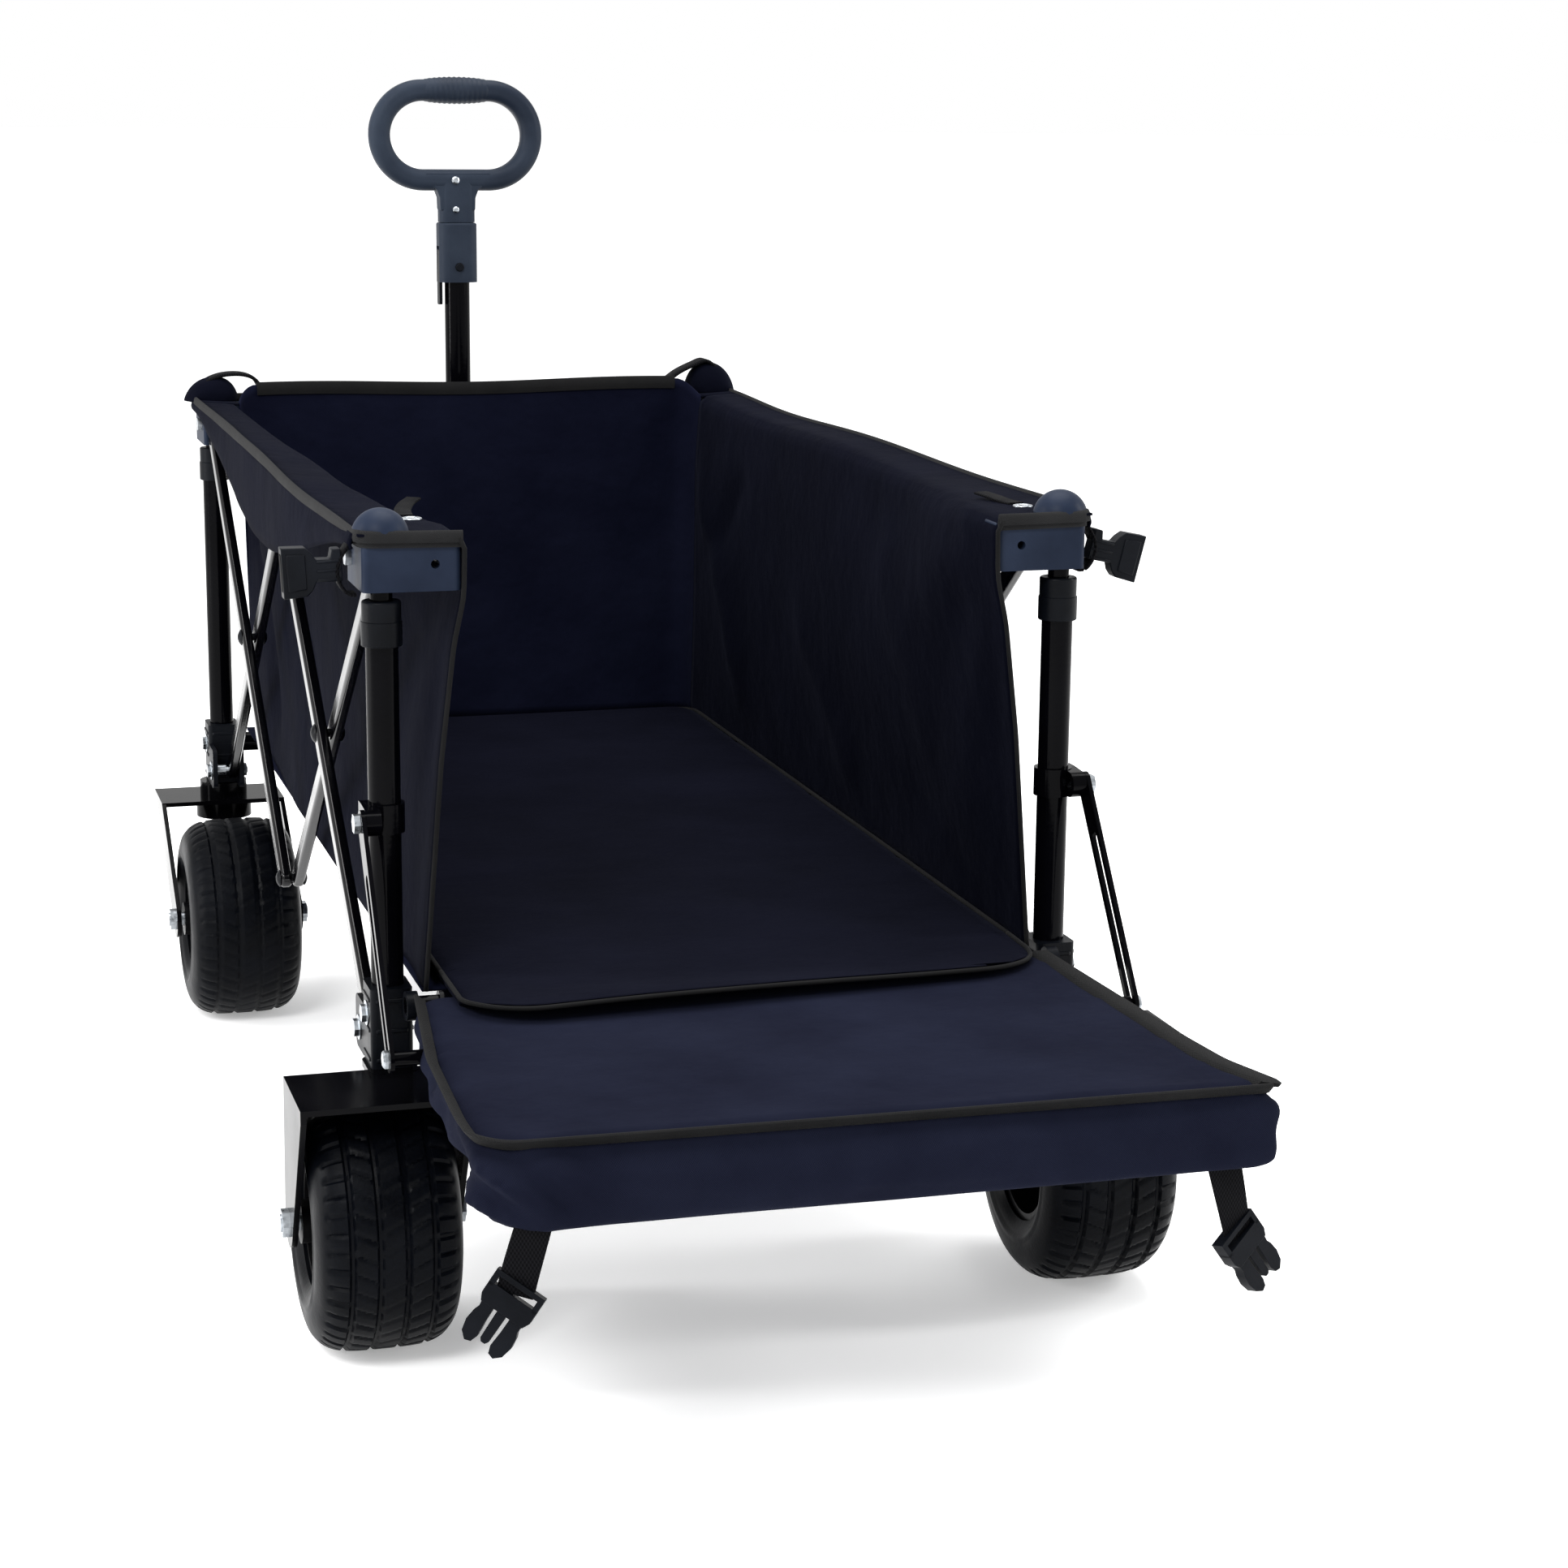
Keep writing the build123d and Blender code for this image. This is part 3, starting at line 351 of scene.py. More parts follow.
def resample(points, count):
    """The same line as count points at equal steps."""
    points = np.array([tuple(p) for p in points], float)
    along = np.concatenate([[0], np.cumsum(np.linalg.norm(np.diff(points, axis=0), axis=1))])
    wanted = np.linspace(0, along[-1], count)
    return [Vector([np.interp(w, along, points[:, k]) for k in range(points.shape[1])])
            for w in wanted]


class Shape:
    """The parts of one piece's mesh, each with a material number."""

    def __init__(self):
        self.verts, self.faces, self.slots = [], [], []

    def add(self, verts, faces, slot=0):
        start = len(self.verts)
        self.verts += [tuple(v) for v in verts]
        self.faces += [tuple(start + i for i in face) for face in faces]
        self.slots += [slot] * len(faces)
        return self

    def cap(self, first, count, slot=0, back=False):
        """One face over a ring of points that starts at the first."""
        ring = tuple(range(first, first + count))
        self.faces.append(ring[::-1] if back else ring)
        self.slots.append(slot)

    def grid(self, rows, slot=0, wrap=False, flip=False):
        """Quads between rows of points; wrap joins each row's end to its start."""
        wide = len(rows[0])
        verts = [p for row in rows for p in row]
        faces = []
        for i in range(len(rows) - 1):
            for j in range(wide if wrap else wide - 1):
                k = (j + 1) % wide
                face = (i * wide + j, i * wide + k, (i + 1) * wide + k, (i + 1) * wide + j)
                faces.append(face[::-1] if flip else face)
        return self.add(verts, faces, slot)

    def sweep(self, path, section, up=(0, 0, 1), slot=0, closed=False):
        """A closed section of (sideways, upward) points carried along the path."""
        path = [Vector(p) for p in path]
        count = len(path)
        ups = up if isinstance(up, list) else [Vector(up)] * count
        rings = []
        for i, point in enumerate(path):
            ahead = path[(i + 1) % count] if closed or i + 1 < count else point
            behind = path[i - 1] if closed or i else point
            tangent = (ahead - behind).normalized()
            side = tangent.cross(ups[i]).normalized()
            lift = side.cross(tangent)
            rings.append([point + side * a + lift * b for a, b in section])
        wide = len(section)
        if closed:
            rings.append(rings[0])
        self.grid(rings, slot, wrap=True)
        if not closed:
            last = len(self.verts) - wide
            self.cap(last, wide, slot)
            self.cap(last - wide * (count - 1), wide, slot, back=True)
        return self

    def prism(self, outline, start, end, place, slot=0):
        """An outline of (a, b) points made solid between two levels c, each put in its place."""
        low = [place(a, b, start) for a, b in outline]
        high = [place(a, b, end) for a, b in outline]
        wide = len(outline)
        faces = [(i, (i + 1) % wide, wide + (i + 1) % wide, wide + i) for i in range(wide)]
        faces += [tuple(reversed(range(wide))), tuple(range(wide, 2 * wide))]
        return self.add(low + high, faces, slot)

    def lathe(self, profile, place, steps=32, slot=0):
        """A profile of (radius, height) points turned about its axis."""
        rows = []
        for radius, height in profile:
            rows.append([place(radius * math.cos(a), radius * math.sin(a), height)
                         for a in (2 * math.pi * i / steps for i in range(steps))])
        return self.grid(rows, slot, wrap=True)

    def make(self, name, materials, body=None, finish=None, smooth=0.0, bevel=0.0, thick=0.0):
        """The object, on its body where it has one; its finish is not used.

        smooth is the angle in degrees past which an edge stays sharp, where one does.
        """
        mesh = bpy.data.meshes.new(name)
        mesh.from_pydata(self.verts, [], self.faces)
        for material in materials:
            mesh.materials.append(material)
        mesh.polygons.foreach_set("material_index", self.slots)
        mesh.polygons.foreach_set("use_smooth", [True] * len(self.faces))
        mesh.update()
        if smooth:
            mesh.set_sharp_from_angle(angle=math.radians(smooth))
        obj = bpy.data.objects.new(name, mesh)
        bpy.context.scene.collection.objects.link(obj)
        if thick:
            cloth = obj.modifiers.new("cloth", "SOLIDIFY")
            cloth.thickness = thick
            cloth.offset = 0.0
        if bevel:
            rounding = obj.modifiers.new("rounding", "BEVEL")
            rounding.width = bevel
            rounding.segments = 2
            rounding.angle_limit = math.radians(35)
        if body:
            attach(obj, body)
        return obj


def circle(radius, steps=10, flat=1.0):
    turns = [2 * math.pi * i / steps for i in range(steps)]
    return [(radius * math.cos(a), flat * radius * math.sin(a)) for a in turns]


def plate(width, thick):
    """Section of a flat strap with rounded edges."""
    a, b, r = width / 2, thick / 2, thick * 0.35
    return [(a - r, -b), (a, -b + r), (a, b - r), (a - r, b), (-a + r, b), (-a, b - r),
            (-a, -b + r), (-a + r, -b)]


def rectangle(a0, b0, a1, b1):
    return [(a0, b0), (a1, b0), (a1, b1), (a0, b1)]


def mirrored(half):
    """An outline of the points at positive a, then their mirror images on the way back."""
    return half + [(-a, b) for a, b in reversed(half)]


# ---------------------------------------- tub
HEM_Z = 0.5545
HEM_X = 0.2575
RIM_Z = 0.567
SHOULDER_X = 0.2205         # inside the scissor arms and their nuts
SHOULDER_Z = 0.545          # below it the wall stands; above it turns outward to the hem
SEAM_Z = 0.2435             # where the walls meet the floor
WALL_REAR_Y = REAR_Y - 0.017
WALL_FRONT_Y = FRONT_Y - 0.045
FRONT_WALL_Y = FRONT_Y - 0.019
CORNER_Y = FRONT_Y + 0.0165
FRONT_HALF_X = 0.199
CLOTH = 0.0016
SIDES = ((-1, "left"), (1, "right"))


def tub_piece(shape, name, materials, finish="cloth", **how):
    """A soft piece of the tub: it goes with the front's top."""
    obj = shape.make(name, materials, "front_top", finish, **how)
    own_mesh(obj)
    return obj


def hem_height(y):
    """The hem sags a little between its fixed points."""
    t = (y - REAR_Y) / (FRONT_Y - REAR_Y)
    return HEM_Z - 0.0025 * math.sin(2 * math.pi * clamp(t)) ** 2


def hem_x(y):
    """The hem bows out behind the middle and in ahead of it."""
    t = (y - REAR_Y) / (FRONT_Y - REAR_Y)
    return HEM_X + 0.0015 * bell(t - 0.3, 0.15) - 0.0042 * bell(t - 0.76, 0.14)


def shoulder_x(y):
    """Where the wall's flat top turns down: over the bracket's end, then closer to the hem."""
    past = max(0.0, y - REAR_Y - BRACKET_REACH)
    return lerp(BRACKET_IN_X - 0.001, SHOULDER_X, 1 - math.exp(-5.9 * past))


# A wall's x at its rear edge, how far inside its shoulder it is further on, and z at both
WALL_COURSE = ((0.2045, 0.0045, 0.400, 0.410), (0.1950, 0.0035, 0.480, 0.490),
               (0.1878, 0.0012, 0.512, 0.532))


def wall_line(y):
    """The wall at y as points from the floor seam, up the inside and over to the hem."""
    along = y - REAR_Y
    t = clamp((along - 0.02) / 0.8)
    free = ease(along, 0.045, 0.26)
    top_x, hem = shoulder_x(y), Vector((hem_x(y), 0, hem_height(y)))
    foot_x = lerp(0.217, 0.2115, ease(along, 0.6, 0.9)) + 0.003 * hump(t)
    points = [Vector((foot_x, 0, SEAM_Z))]
    for rear_x, inside, rear_z, z in WALL_COURSE:
        points.append(Vector((lerp(rear_x, top_x - inside, free), 0, lerp(rear_z, z, free))))
    points += [Vector((top_x, 0, hem.z - 0.0022)), hem]
    return resample(rounded_line(points, lerp(0.008, 0.03, free)), 46)


def wall_height(x, y):
    """Height of the wall's upper face at x and y, for what is sewn on to it."""
    line = wall_line(y)
    for low, high in zip(line, line[1:]):
        if low.x <= x <= high.x and low.z > 0.3:
            return lerp(low.z, high.z, (x - low.x) / max(1e-6, high.x - low.x))
    return HEM_Z


# A wall's creases: both ends from the rear posts and up, the depth inward and the width
CREASES = (((0.900, 0.520), (0.700, 0.270), 0.0085, 0.026),
           ((0.700, 0.500), (0.860, 0.400), -0.0045, 0.020),
           ((0.560, 0.420), (0.380, 0.262), 0.0060, 0.030),
           ((0.300, 0.510), (0.170, 0.330), 0.0035, 0.035),
           ((0.250, 0.330), (0.080, 0.262), -0.0030, 0.022))


def crease(along, z):
    """How far the creases move the wall inward at a point."""
    total = 0.0
    for (y0, z0), (y1, z1), depth, width in CREASES:
        length = math.hypot(y1 - y0, z1 - z0)
        dy, dz = (y1 - y0) / length, (z1 - z0) / length
        run = ((along - y0) * dy + (z - z0) * dz) / length
        off = (along - y0) * dz - (z - z0) * dy + 0.006 * math.sin(7 * run + 9 * depth)
        sharp = math.exp(-abs(off / width) ** 1.35)
        total += depth * sharp * ease(run, -0.05, 0.25) * (1 - ease(run, 0.75, 1.08))
    return total


def wall_folds(y, z, side):
    """Sideways ripple of the wall: soft pulls from the rear bracket, crumples and creases."""
    back, down = y - WALL_REAR_Y, 0.552 - z
    reach = math.hypot(back, down)
    angle = math.atan2(down, back + 0.001)
    fan = 0.0022 * math.sin(9.0 * angle + 1.3 * side)
    fan *= ease(reach, 0.04, 0.16) * (1 - ease(reach, 0.3, 0.62))
    soft = 0.0035 * crumple(4.2 * y, 7.0 * z, 3.1 * side)
    free = ease(SHOULDER_Z - z, 0.0, 0.06) * ease(back, 0.0, 0.05)
    sewn = ease(WALL_FRONT_Y - y, 0.0, 0.05) * ease(z, 0.25, 0.29)
    return (fan + soft - crease(y - REAR_Y, z) * sewn) * free


def side_wall(side):
    """A side wall's rows, each from the floor's seam up to the hem."""
    rows = []
    for y in spaced(WALL_REAR_Y, WALL_FRONT_Y, 100):
        row = []
        for p in wall_line(y):
            x = min(p.x + wall_folds(y, p.z, side), SHOULDER_X) if p.z < SHOULDER_Z else p.x
            row.append((side * x, y, p.z))
        rows.append(row)
    return rows


def corner_cover(side):
    """The flat of the wall's end over the front bracket."""
    hem_z = hem_height(WALL_FRONT_Y)
    return [[(side * lerp(SHOULDER_X, hem_x(y), t), y, lerp(0.5522, hem_z, t))
             for t in spaced(0, 1, 6)] for y in spaced(WALL_FRONT_Y, CORNER_Y, 8)]


def front_corner_x(z):
    """How far out the side wall's front edge lies at z."""
    line = [p for p in wall_line(WALL_FRONT_Y) if p.x <= SHOULDER_X + 1e-4]
    return float(np.interp(z, [p.z for p in line], [p.x for p in line]))


for side, name in SIDES:
    shape = Shape().grid(side_wall(side), flip=side > 0)
    shape.grid(corner_cover(side), flip=side > 0)
    wall = tub_piece(shape, f"tub_wall_{name}", [NAVY_SHADED], thick=CLOTH)
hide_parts("tub_side_walls")


def front_plan(u):
    """The front wall seen from above, u from -1 to 1: straight, with rounded ends."""
    turn = 0.82
    if abs(u) <= turn:
        return Vector((FRONT_HALF_X * u / turn, FRONT_WALL_Y, 0))
    t = (abs(u) - turn) / (1 - turn) * math.pi / 2
    x = FRONT_HALF_X + (SHOULDER_X - FRONT_HALF_X) * math.sin(t)
    y = lerp(FRONT_WALL_Y, WALL_FRONT_Y, 1 - math.cos(t))
    return Vector((math.copysign(x, u), y, 0))


def front_rows():
    """The front wall's inside, which bellies forward a little."""
    rows = []
    for t in spaced(0, 1, 40):
        row = []
        for u in spaced(-1, 1, 80):
            p = front_plan(u)
            top = lerp(RIM_Z, HEM_Z - 0.001, ease(abs(u), 0.84, 1.0))
            z = lerp(SEAM_Z, top - 0.0015 * math.cos(1.5 * math.pi * u), t)
            narrow = lerp(1.0, front_corner_x(z) / SHOULDER_X + 0.004, ease(abs(u), 0.5, 1.0))
            belly = 0.006 * hump(t) * (1 - u * u) + 0.003 * crumple(6 * p.x, 4 * z, 9)
            row.append((p.x * narrow, p.y + belly * ease(1 - t, 0, 0.08), z))
        rows.append(row)
    return rows


front_wall = tub_piece(Shape().grid(front_rows()), "tub_front", [NAVY_INSIDE_LIT], thick=CLOTH)
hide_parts("tub_front_wall")

# Floor of the tub, slung between the walls
rows = [[(lerp(-0.2185, 0.2185, across), lerp(REAR_Y - 0.012, FRONT_WALL_Y - 0.001, along),
          SEAM_Z - 0.001 - 0.0025 * hump(along) * hump(across)) for across in spaced(0, 1, 30)]
        for along in spaced(0, 1, 60)]
floor = tub_piece(Shape().grid(rows, flip=True), "tub_base", [NAVY_INSIDE_LIT], thick=0.0022)
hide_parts("tub_floor")


def skirt(side):
    """The outer skirt, which hangs from the hem over the tops of the scissor arms."""
    rows = []
    for y in spaced(REAR_Y - 0.006, FRONT_Y - 0.004, 90):
        along = clamp((y - REAR_Y) / (FRONT_Y - REAR_Y))
        depth = 0.010 + 0.058 * max(0.0, hump(along)) ** 1.6
        row = []
        for t in spaced(0, 1, 8):
            out = 0.0025 * hump(t) + 0.0025 * crumple(9 * y, 20 * depth * t, side)
            row.append((side * (hem_x(y) + 0.0012 + out * t), y, hem_height(y) - depth * t))
        rows.append(row)
    return rows


for side, name in SIDES:
    valance = Shape().grid(skirt(side), flip=side < 0)
    valance = tub_piece(valance, f"tub_skirt_{name}", [NAVY_SHADED], thick=CLOTH)


def tape_section(outer, inner):
    """A tape folded over an edge, its outer leaf to the path's right."""
    thick = 0.0015
    return [(-thick, -inner), (-thick - 0.0006, -inner / 2), (-thick, 0.0008), (-thick / 2, 0.0026),
            (thick / 2, 0.003), (thick * 1.3, 0.0012), (thick * 1.9, -outer * 0.5),
            (thick * 1.5, -outer), (thick * 0.4, -outer), (thick * 0.4, -0.0006),
            (-thick * 0.3, -0.0006), (-thick * 0.3, -inner)]


def rim_path(side):
    """From the rear bracket's inner end, out, forward along the hem and round the front corner."""
    rear = WALL_REAR_Y - 0.0005
    corner = [(side * BRACKET_IN_X, rear, HEM_Z - 0.001), (side * HEM_X, rear, HEM_Z)]
    hem = [(side * (hem_x(y) + 0.0005), y, hem_height(y)) for y in spaced(rear, CORNER_Y, 24)[1:-1]]
    front = [(side * x, CORNER_Y, HEM_Z) for x in (HEM_X, FRONT_HALF_X + 0.004)]
    return resample(rounded_line(corner + hem + front, 0.012, 5), 190)


for side, name in SIDES:
    section = tape_section(0.0085, 0.005)
    if side > 0:
        section = [(-a, b) for a, b in reversed(section)]
    tub_piece(Shape().sweep(rim_path(side), section), f"hem_binding_{name}", [HEM_TAPE], smooth=60)

half = FRONT_HALF_X + 0.002
path = [(x, FRONT_WALL_Y, RIM_Z - 0.0005 - 0.0015 * math.cos(1.25 * math.pi * x / FRONT_HALF_X))
        for x in spaced(-half, half, 59)]
tub_piece(Shape().sweep(path, tape_section(0.009, 0.007)), "front_binding", [BINDING], smooth=60)

# Piping down the rear edge of each wall
for side, name in SIDES:
    edge = [(side * p.x, WALL_REAR_Y - 0.0012, p.z) for p in wall_line(WALL_REAR_Y)
            if p.z < 0.552 and p.x < 0.2178]
    tub_piece(Shape().sweep(edge, circle(0.0017), up=(0, 1, 0)), f"wall_piping_{name}", [BINDING])


# Corner pockets over the front domes, with the loop straps that lift the tub out
def corner_pocket(side, rise):
    """A soft cap over a front dome, drawn out to the hem's corner."""
    rows = []
    for t in spaced(0, 1, 12):
        row = []
        reach = 0.0232 * math.cos(t * math.pi / 2) ** 0.85
        for angle in spaced(0, 2 * math.pi, 36)[:-1]:
            stretch = 1 + 0.1 * max(0.0, math.cos(angle)) * (1 - t)
            fold = 1 + 0.03 * math.sin(5 * angle + 2 * t) * (1 - t)
            x = side * (POST_X + reach * stretch * fold * math.cos(angle) - 0.002 * t)
            row.append((x, FRONT_Y - 0.001 + reach * fold * math.sin(angle),
                        BRACKET_TOP_Z + 0.0025 + rise * math.sin(t * math.pi / 2) ** 1.15))
        rows.append(row)
    return rows


def tub_strap(name, finish, points, width, thick):
    """A strap of the tub, laid through the points."""
    strap = Shape().sweep(resample(curve_through(points), 40), plate(width, thick))
    tub_piece(strap, name, [BLACK_WEB], finish, smooth=50)


# Each front corner's pocket height, and its loop across the wagon in x and z
CORNERS = (
    (0.0215, ((-0.2525, 0.5625), (-0.2445, 0.5715), (-0.2300, 0.5765), (-0.2130, 0.5768),
              (-0.2010, 0.5720), (-0.1955, 0.5620))),
    (0.0285, ((0.2545, 0.5610), (0.2470, 0.5745), (0.2360, 0.5835), (0.2240, 0.5800),
              (0.2080, 0.5725), (0.1965, 0.5640))),
)
for (side, name), (rise, _) in zip(SIDES, CORNERS):
    pocket = Shape().grid(corner_pocket(side, rise), wrap=True, flip=side < 0)
    pocket = tub_piece(pocket, f"corner_pocket_{name}", [NAVY_SHADED], thick=0.0012)
for (_, name), (_, loop) in zip(SIDES, CORNERS):
    path = [(x, FRONT_Y - 0.001, z) for x, z in loop]
    tub_strap(f"lift_loop_{name}", "webbing", path, 0.022, 0.0032)

# Each rear corner's eyelet on the wall's top and its tape's course, y from the rear posts
TABS = (
    ((-0.207, 0.068), ((-0.2085, 0.086, 0.5530), (-0.2050, 0.115, 0.5530), (-0.1985, 0.138, 0.5545),
                       (-0.1910, 0.149, 0.5570))),
    ((0.226, 0.037), ((0.2260, 0.050, 0.5545), (0.2235, 0.064, 0.5545), (0.2195, 0.082, 0.5560),
                      (0.2155, 0.096, 0.5570))),
)
for (side, name), ((x, along), tab) in zip(SIDES, TABS):
    y = REAR_Y + along
    centre = Vector((x, y, wall_height(abs(x), y) + 0.0010))
    ring = [centre + Vector((a, b, 0)) for a, b in circle(0.0058, 28)]
    eyelet = Shape().sweep(ring, circle(0.0015, 8, 0.7), closed=True)
    tub_piece(eyelet, f"wall_eyelet_{name}", [ZINC])
    tub_strap(f"tape_end_{name}", "cloth", [(x, REAR_Y + y, z) for x, y, z in tab], 0.012, 0.0018)


# ---------------------------------------- mat
MAT_HALF_X = 0.205
MAT_SPLIT_Y = REAR_Y - 0.010                    # the flap starts here
MAT_FRONT_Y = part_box("floor_mat")[1].y - 0.055
PIPING_Z = MAT_TOP_Z - 0.002


def mat_corner(side, y):
    return Vector((side * MAT_HALF_X, y, PIPING_Z))


def mat_top(x, y):
    """The mat's upper face, nearly flat, with the faint lines of its stiffening boards."""
    boards = sum(bell(y - MID_Y - k * 0.235, 0.006) for k in (-1, 0, 1))
    return MAT_TOP_Z + 0.0016 * crumple(4 * x, 4 * y, 0) - 0.0012 * boards


def edge_drop(t):
    """How much lower the mat is near its side edges, t from 0 to 1 across it."""
    return 0.003 * (1 - ease(min(t, 1 - t), 0, 0.04))


rows = []
foot_z = FLOOR_TOP_Z + 0.0008
for y in spaced(MAT_SPLIT_Y, MAT_FRONT_Y, 110):
    row = [(0.004 - MAT_HALF_X, y, foot_z), (-MAT_HALF_X, y, foot_z + 0.003)]
    for t in spaced(0, 1, 40):
        x = lerp(-MAT_HALF_X, MAT_HALF_X, t)
        row.append((x, y, mat_top(x, y) - edge_drop(t)))
    rows.append(row + [(MAT_HALF_X, y, foot_z + 0.003), (MAT_HALF_X - 0.004, y, foot_z)])
mat = Shape().grid(rows, wrap=True, flip=True)
edge = [mat_corner(-1, MAT_SPLIT_Y), mat_corner(-1, MAT_FRONT_Y), mat_corner(1, MAT_FRONT_Y),
        mat_corner(1, MAT_SPLIT_Y)]
mat.sweep(resample(rounded_line(edge, 0.02), 200), circle(0.0017, 8), slot=1)
mat = tub_piece(mat, "mat_floor", [NAVY_MAT_SHADED, BINDING])
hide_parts("floor_mat")


# The end of the mat, over the hinge and on to the open tailgate
def flap_edge(x):
    """The flap's rear edge: a little skewed, with rounded corners."""
    straight = REAR_Y - 0.1125 + 0.075 * x
    inset = MAT_HALF_X - abs(x)
    radius = 0.052
    if inset < radius:
        straight += radius - math.sqrt(max(0.0, radius ** 2 - (radius - inset) ** 2))
    return straight


def flap_lift(x, y):
    """How far the flap stands above the mat's line: dipping over the hinge, its end lifted."""
    back = MAT_SPLIT_Y - y
    return (0.0032 * ease(back, 0.05, 0.11) * (1 + crumple(5 * x, 1.7, 0))
            - 0.0012 * hump(clamp(back / 0.09)))


rows = []
for along in spaced(0, 1, 24):
    top = []
    for t in spaced(0, 1, 60):
        x = lerp(-MAT_HALF_X, MAT_HALF_X, t)
        y = lerp(MAT_SPLIT_Y, flap_edge(x), along)
        top.append((x, y, mat_top(x, y) - edge_drop(t) + flap_lift(x, y)))
    rows.append(top + [(x, y, z - 0.0042) for x, y, z in reversed(top)])
flap = Shape().grid(rows, wrap=True)
flap.cap(len(flap.verts) - len(rows[0]), len(rows[0]))
line = [mat_corner(-1, MAT_SPLIT_Y)]
for x in (spaced(1e-4 - MAT_HALF_X, -0.16, 29) + spaced(-0.15, 0.15, 39)
          + spaced(0.16, MAT_HALF_X - 1e-4, 29)):
    y = flap_edge(x)
    line.append(Vector((x, y - 0.0005, mat_top(x, y) - 0.0022 + flap_lift(x, y))))
line.append(mat_corner(1, MAT_SPLIT_Y))
flap.sweep(resample(line, 170), circle(0.0017, 8), slot=1)
flap = flap.make("mat_over_tailgate", [NAVY_MAT_SHADED, BINDING], finish="cloth")
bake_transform(flap)
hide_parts("mat_flap")


# ---------------------------------------- tailgate cover
PAD_LOW, PAD_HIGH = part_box("tailgate_pad")
PAD_ROOT_Y = PAD_HIGH.y
PAD_END_Y = PAD_LOW.y
PAD_CENTRE = Vector((0, (PAD_ROOT_Y + PAD_END_Y) / 2))
CLOTH_FRAMES = 20


def pad_edge():
    """The top binding's line in plan, from the left root round the end to the right root."""
    left = [(-0.2290, PAD_ROOT_Y), (-0.2465, REAR_Y - 0.189), (-0.2515, REAR_Y - 0.305),
            (-0.2505, REAR_Y - 0.342), (-0.2330, REAR_Y - 0.3610), (-0.0510, REAR_Y - 0.3665),
            (0.1500, REAR_Y - 0.3710)]
    right = [(0.1500, REAR_Y - 0.3710), (0.2470, REAR_Y - 0.3735), (0.2320, REAR_Y - 0.3200),
             (0.2275, REAR_Y - 0.2700), (0.2240, REAR_Y - 0.2010), (0.2165, PAD_ROOT_Y)]
    return rounded_line(left, 0.011)[:-1] + rounded_line(right, 0.009)


def pad_flank():
    """The widest line of the pad in plan, over the same course."""
    left = [(-0.2290, PAD_ROOT_Y), (-0.2440, REAR_Y - 0.19), (-0.2490, REAR_Y - 0.30),
            (-0.2560, REAR_Y - 0.3560), (-0.2350, PAD_END_Y + 0.0035), (0.0, PAD_END_Y + 0.0005),
            (0.1500, PAD_END_Y)]
    right = [(0.1500, PAD_END_Y), (0.2530, PAD_END_Y + 0.0005), (0.2440, REAR_Y - 0.3000),
             (0.2380, REAR_Y - 0.1900), (0.2280, PAD_ROOT_Y)]
    return rounded_line(left, 0.012)[:-1] + rounded_line(right, 0.008)


def flank_folds(point, rise):
    """Diagonal pulls in the flank at the left front corner, a few down the sides, and crumples."""
    across = point.x + 0.249
    near = bell(across, 0.060) * (1 - ease(point.y - PAD_END_Y, 0.03, 0.12))
    pulls = 0.0085 * math.sin((across * 1.1 + rise * 1.3) * 2 * math.pi / 0.044) * near
    ripple = 0.0024 * math.sin(2 * math.pi * (point.y * 13 + rise * 27))
    ripple *= ease(abs(point.x), 0.2, 0.245)
    soft = 0.0060 * crumple(8 * point.x, 9 * point.y, 24 * rise)
    soft += 0.0030 * crumple(21 * point.x, 19 * point.y, 46 * rise + 5)
    return (pulls + ripple + soft) * ease(rise, 0.0, 0.012) * (1 - ease(rise, 0.038, 0.05))


def from_centre(point, size):
    """The point's place in plan when the pad's outline is drawn at that size."""
    return PAD_CENTRE + (point - PAD_CENTRE) * size


def pad_rows():
    """The cover before its filling swells it, as rings from its underside's middle to its top's."""
    edge, flank = resample(pad_edge(), 180), resample(pad_flank(), 180)
    rows = []
    for size in (0.15, 0.5, 0.8, 0.95):
        ring = [from_centre(p, size) for p in flank]
        rows.append([(p.x, p.y, PAD_LOW.z - 0.0008) for p in ring])
    for rise, size, share in ((0.001, 0.978, 0.0), (0.006, 0.988, 0.0), (0.014, 0.995, 0.0),
                              (0.024, 0.998, 0.0), (0.032, 0.997, 0.0), (0.040, 0.992, 0.2),
                              (0.045, 0.985, 0.6), (0.0475, 0.978, 0.9)):
        row = []
        for a, b in zip(flank, edge):
            p = from_centre(a.lerp(b, share), size)
            p += (p - PAD_CENTRE).normalized() * flank_folds(p, rise)
            p.x += 0.013 * ease(-p.x, 0.19, 0.25) * (1 - ease(rise, 0.0, 0.022))
            row.append((p.x, min(p.y, PAD_ROOT_Y), PAD_LOW.z + rise))
        rows.append(row)
    for size in (0.992, 0.96, 0.86, 0.66, 0.4, 0.15):
        row = []
        for p in edge:
            q = from_centre(p, size)
            dent = 0.0028 * (1 - size ** 4) - 0.0012 * crumple(6 * q.x, 8 * q.y, 3)
            row.append((q.x, min(q.y, PAD_ROOT_Y), PAD_HIGH.z - 0.0012 - dent))
        rows.append(row)
    return rows


def evaluated(obj):
    return obj.evaluated_get(bpy.context.evaluated_depsgraph_get())


def per_vertex(mesh, attribute):
    values = np.empty(3 * len(mesh.vertices))
    mesh.vertices.foreach_get(attribute, values)
    return values.reshape(-1, 3)


